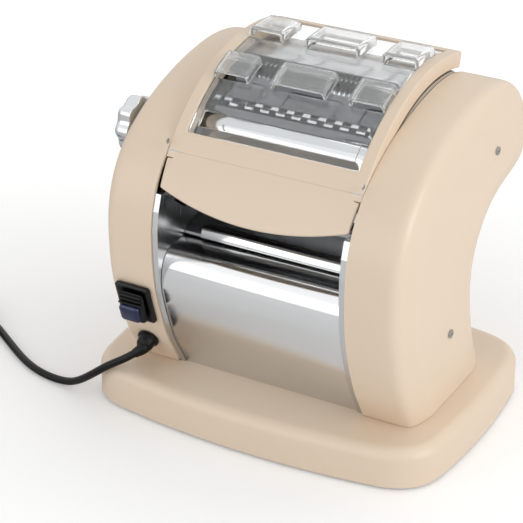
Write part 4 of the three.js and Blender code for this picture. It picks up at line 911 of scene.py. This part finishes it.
def boot_ribs():
    bm = bmesh.new()
    for height, out in RIB_PLACES:
        made = bmesh.ops.create_cube(bm, size=1)["verts"]
        bmesh.ops.scale(bm, verts=made, vec=RIB_SIZE)
        bmesh.ops.translate(bm, verts=made, vec=(0, -out, height))
    seat_on_front(bm, SWITCH_X, SWITCH_Z)
    return finish_piece("rocker_ribs", bm, black_abs, "rocker", soft=0.5, soft_steps=3)


bezel()
boot()
boot_ribs()
lens()

# %% [markdown]
# ## Cord
# The mains cord is 6 mm round PVC. It leaves a rubber gland low on the left housing, drops
# to the table, runs out of the picture and is put away there in a coil of two layers. It is
# a curve through the same points as the CAD's tube, so it lies where its solids lie.

# %% Cord route
CORD_R, ON_TABLE = 3, 3.1
GLAND_X, GLAND_Z, GLAND_TILT = -96, 54, 0.5448883838
GLAND_PLACE = Vector((GLAND_X, -74.9107, GLAND_Z))
gland_way = Vector((0, -math.cos(GLAND_TILT), -math.sin(GLAND_TILT)))
route = [GLAND_PLACE + gland_way * reach for reach in (9.3, 12)]
route += [Vector(p) for p in (
    (-100.8, -89.2, 45.4), (-106, -91.4, 41.2), (-112.1, -93.8, 37.6), (-118, -96.6, 34.6),
    (-125, -98.6, 29.4), (-134.8, -98.4, 21.2), (-146.3, -95.6, 12.2), (-156, -93.4, 6),
    (-166.6, -92, 3.4), (-179.8, -91.4, ON_TABLE), (-198.1, -87.3, ON_TABLE), (-218.9, -76, ON_TABLE),
    (-244.3, -58.8, ON_TABLE), (-262, -47.4, ON_TABLE), (-279, -37.2, ON_TABLE))]
COIL_R, COIL_GAP = 42, 6.3
TURNS, CLIMB, PITCH, STEPS = 3, 0.3, 6.5, 24
PLUG_LIFT, TAIL = 7.6, 19
heading = math.atan2(route[-1].y - route[-2].y, route[-1].x - route[-2].x)
coil_start = route[-1] + COIL_GAP * Vector((math.cos(heading), math.sin(heading), 0))
coil_middle = coil_start + COIL_R * Vector((-math.sin(heading), math.cos(heading), 0))
coil_middle.z = 0


def coil_points():
    middle = TURNS + CLIMB / 2
    points = []
    for i in range(int(2 * middle * STEPS) + 1):
        turn = i / STEPS
        t = min(max((turn - TURNS) / CLIMB, 0), 1)
        radius = COIL_R - PITCH * (middle - abs(turn - middle))
        angle = heading - math.pi / 2 + turn * math.tau
        height = ON_TABLE + PITCH * t * t * (3 - 2 * t)
        points.append(coil_middle + Vector((radius * math.cos(angle), radius * math.sin(angle), height)))
    end = heading - math.pi / 2 + 2 * middle * math.tau
    way = Vector((-math.sin(end), math.cos(end), 0))
    tail = [points[-1] + way * TAIL * k for k in (1, 2)]
    tail[0].z, tail[1].z = (points[-1].z + PLUG_LIFT) / 2, PLUG_LIFT
    return points + tail, way


coil_path, plug_way = coil_points()
# The listed points are smoothed, but not the ends, which meet the gland and the coil.
FED_STEPS, SMOOTH_PASSES, KEPT = 90, 30, 3
fed = smooth_run(route, FED_STEPS)
for _ in range(SMOOTH_PASSES):
    fed[KEPT:-KEPT] = [0.5 * fed[i] + 0.25 * (fed[i - 1] + fed[i + 1])
                       for i in range(KEPT, len(fed) - KEPT)]
cord_path = fed + coil_path

# %% Cord
def tube_on(path, radius, sides):
    curve = bpy.data.curves.new("line", "CURVE")
    curve.dimensions = "3D"
    line = curve.splines.new("POLY")
    line.points.add(len(path) - 1)
    for point, place in zip(line.points, path):
        point.co = (*((place + Vector((0, DEPTH_SHIFT, 0))) * MM), 1)
    curve.bevel_depth, curve.bevel_resolution, curve.use_fill_caps = radius * MM, sides // 2 - 2, True
    return curve


def lay_tube(name, curve):
    piece = bpy.data.objects.new(name, curve)
    bpy.context.scene.collection.objects.link(piece)
    curve.materials.append(sheath_pvc)
    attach(piece, "machine")
    return piece


cord = lay_tube("mains_cord", tube_on(cord_path, CORD_R, 12))
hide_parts("cord_run", "cord_coil")
print("laid", cord.name)

# %% [markdown]
# ## Gland, strain relief and plug
# The gland is a rubber nub, spun about the cord's way out. A tapered sleeve with fine ribs
# takes the bend behind it. The plug is a flat tapered body with two round pins.

# %% Gland, strain relief and plug
GLAND_PROFILE = [(0, -6), (4.4, -6), (4.4, 0.3), (8.2, 0.3), (8.6, 1.2), (8.3, 2.8), (7.2, 3.6), (6.6, 5.5),
                 (6.2, 8.4), (5.4, 9.4), (3.2, 9.6)]
PLUG_OUTLINE = [(0, -4.7), (12, -12.5), (36, -12.5), (36, 12.5), (12, 12.5), (0, 4.7)]
PLUG_THICK, PIN_R, PIN_LENGTH, PIN_MIDDLE, PIN_SPREAD = 9, 2, 20, 45, 9.3
SLEEVE_START, SLEEVE_POINTS = 6, 12
SLEEVE_R, SLEEVE_TAPER, SLEEVE_RIB = 5.4, 2, 0.25
PLUG_GAP = 0.3


def gland():
    bm = bmesh.new()
    verts, edges = chain(bm, [(radius, -along, 0) for radius, along in GLAND_PROFILE])
    bmesh.ops.spin(bm, geom=verts + edges, cent=(0, 0, 0), axis=(0, 1, 0), angle=math.tau, steps=40,
                   use_merge=True)
    seat_on_front(bm, GLAND_X, GLAND_Z)
    return finish_piece("cable_gland_boot", bm, sheath_pvc, "machine", ["cable_gland"])


def sleeve():
    path = [GLAND_PLACE + gland_way * SLEEVE_START, *fed[:SLEEVE_POINTS]]
    curve = tube_on(path, 1, 16)
    for i, point in enumerate(curve.splines[0].points):
        share = i / (len(path) - 1)
        point.radius = SLEEVE_R - SLEEVE_TAPER * share + (SLEEVE_RIB if i % 2 else 0)
    return lay_tube("strain_relief", curve)


def plug():
    bm = bmesh.new()
    verts, _ = chain(bm, [(*p, -PLUG_THICK / 2) for p in PLUG_OUTLINE], closed=True)
    face = bm.faces.new(verts)
    raised = bmesh.ops.extrude_face_region(bm, geom=[face])["geom"]
    bmesh.ops.translate(bm, verts=verts_in(raised), vec=(0, 0, PLUG_THICK))
    bmesh.ops.recalc_face_normals(bm, faces=bm.faces)
    for side in (-1, 1):
        made = bmesh.ops.create_cone(bm, cap_ends=True, segments=24, radius1=PIN_R, radius2=PIN_R,
                                     depth=PIN_LENGTH)["verts"]
        bmesh.ops.rotate(bm, verts=made, cent=(0, 0, 0), matrix=Matrix.Rotation(math.pi / 2, 3, "Y"))
        bmesh.ops.translate(bm, verts=made, vec=(PIN_MIDDLE, side * PIN_SPREAD, 0))
    turn = Matrix.Rotation(math.atan2(plug_way.y, plug_way.x), 3, "Z")
    bmesh.ops.rotate(bm, verts=bm.verts, cent=(0, 0, 0), matrix=turn)
    bmesh.ops.translate(bm, verts=bm.verts, vec=coil_path[-1] + plug_way * PLUG_GAP)
    return finish_piece("plug_body", bm, black_abs, "machine", ["mains_plug"], soft=1.5,
                        soft_steps=3)


gland()
sleeve_piece = sleeve()
plug_piece = plug()

# %% [markdown]
# ## Finishes of the CAD pieces that stay
# Flat plates, gears, combs, screws and what is hidden keep their CAD shape. They get the
# same finishes as their neighbours.

# %% Finishes on the CAD nodes
BRUSHED_NODES = ("left_side_plate", "right_side_plate", "wide_comb", "fine_comb")
for node_name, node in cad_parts.items():
    finish = zinc_plate
    if node_name in BRUSHED_NODES:
        finish = brushed_plate
    elif "gear" in node_name:
        finish = natural_nylon
    elif "foot" in node_name:
        finish = foot_rubber
    node.data.materials.clear()
    node.data.materials.append(finish)
print("finished", len(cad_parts), "CAD nodes")

# %% [markdown]
# ## Floor and light
# The machine stands on a white table in a bright, even studio. Three large soft lamps and a
# pale world light it. The floor shows white to the camera and still takes a soft shadow: it
# glows a little for what the camera sees, straight or through the guard, and more with
# distance. The sky that metal reflects is brighter above, so the steel shows soft bands.

# %% Floor
FLOOR_HALF = 6
GLOW_FROM, GLOW_FULL, NEAR_GLOW, FAR_GLOW = 0.17, 2.0, 0.16, 1.2
floor_mesh = bpy.data.meshes.new("floor")
floor_bm = bmesh.new()
bmesh.ops.create_grid(floor_bm, x_segments=1, y_segments=1, size=FLOOR_HALF)
floor_bm.to_mesh(floor_mesh)
floor_bm.free()
floor = bpy.data.objects.new("floor", floor_mesh)
bpy.context.scene.collection.objects.link(floor)


def either(tree, first, second):
    return add_node(tree, "ShaderNodeMath", {0: first, 1: second}, operation="MAXIMUM").outputs[0]


paper, paper_tree, paper_shader, paper_place = start_material(
    "white paper sweep", Base_Color=linear("#F4F4F4"), Roughness=0.9, Emission_Color=(1, 1, 1, 1))
rays = add_node(paper_tree, "ShaderNodeLightPath").outputs
reach = add_node(paper_tree, "ShaderNodeVectorMath", {0: paper_place}, operation="LENGTH")
lift = add_node(paper_tree, "ShaderNodeMapRange", {
    "Value": reach.outputs["Value"], "From Min": GLOW_FROM, "From Max": GLOW_FULL,
    "To Min": NEAR_GLOW, "To Max": FAR_GLOW})
glow = add_node(paper_tree, "ShaderNodeMath", {
    0: either(paper_tree, rays["Is Camera Ray"], rays["Is Transmission Ray"]), 1: lift.outputs["Result"]},
    operation="MULTIPLY")
paper_tree.links.new(glow.outputs[0], paper_shader.inputs["Emission Strength"])
floor.data.materials.append(paper)
print("floor", 2 * FLOOR_HALF, "m wide")

# %% World
DIFFUSE_SKY, SEEN_SKY, MIRRORED_EDGE, MIRRORED_TOP, TOP_FROM = 0.5, 1.0, 0.85, 1.3, 0.45
world = bpy.data.worlds.new("studio")
bpy.context.scene.world = world
world.use_nodes = True
sky = world.node_tree
sky.nodes["Background"].inputs["Color"].default_value = (1, 1, 1, 1)
sky_rays = add_node(sky, "ShaderNodeLightPath").outputs
sky_way = add_node(sky, "ShaderNodeSeparateXYZ", {
    "Vector": add_node(sky, "ShaderNodeTexCoord").outputs["Generated"]})
sky_rise = add_node(sky, "ShaderNodeMapRange", {
    "Value": sky_way.outputs["Z"], "From Min": 0.0, "From Max": TOP_FROM,
    "To Min": MIRRORED_EDGE, "To Max": MIRRORED_TOP})
seen_level = add_node(sky, "ShaderNodeMix", {
    "Factor": sky_rays["Is Glossy Ray"], "A": SEEN_SKY, "B": sky_rise.outputs["Result"]})
straight = either(sky, sky_rays["Is Camera Ray"], sky_rays["Is Transmission Ray"])
sky_level = add_node(sky, "ShaderNodeMix", {
    "Factor": either(sky, straight, sky_rays["Is Glossy Ray"]), "A": DIFFUSE_SKY,
    "B": seen_level.outputs["Result"]})
sky.links.new(sky_level.outputs["Result"], sky.nodes["Background"].inputs["Strength"])
print("the sky lights at", DIFFUSE_SKY, "and shows at", SEEN_SKY)


# %% Lamps
def soft_lamp(name, place, aim, size, power):
    data = bpy.data.lights.new(name, "AREA")
    data.shape, data.size, data.size_y, data.energy = "RECTANGLE", size[0], size[1], power
    lamp = bpy.data.objects.new(name, data)
    lamp.location = place
    lamp.rotation_mode = "QUATERNION"
    lamp.rotation_quaternion = (Vector(aim) - Vector(place)).to_track_quat("-Z", "Y")
    bpy.context.scene.collection.objects.link(lamp)
    print(name, power, "W")


soft_lamp("top softbox", (0.3, 0.6, 1.6), (0, 0, 0.1), (1.4, 1.2), 5)
soft_lamp("right softbox", (1.8, -0.2, 0.8), (0, 0, 0.15), (1.0, 1.2), 15)
soft_lamp("front softbox", (-0.7, -1.8, 0.8), (0, 0, 0.15), (2.6, 1.2), 12)
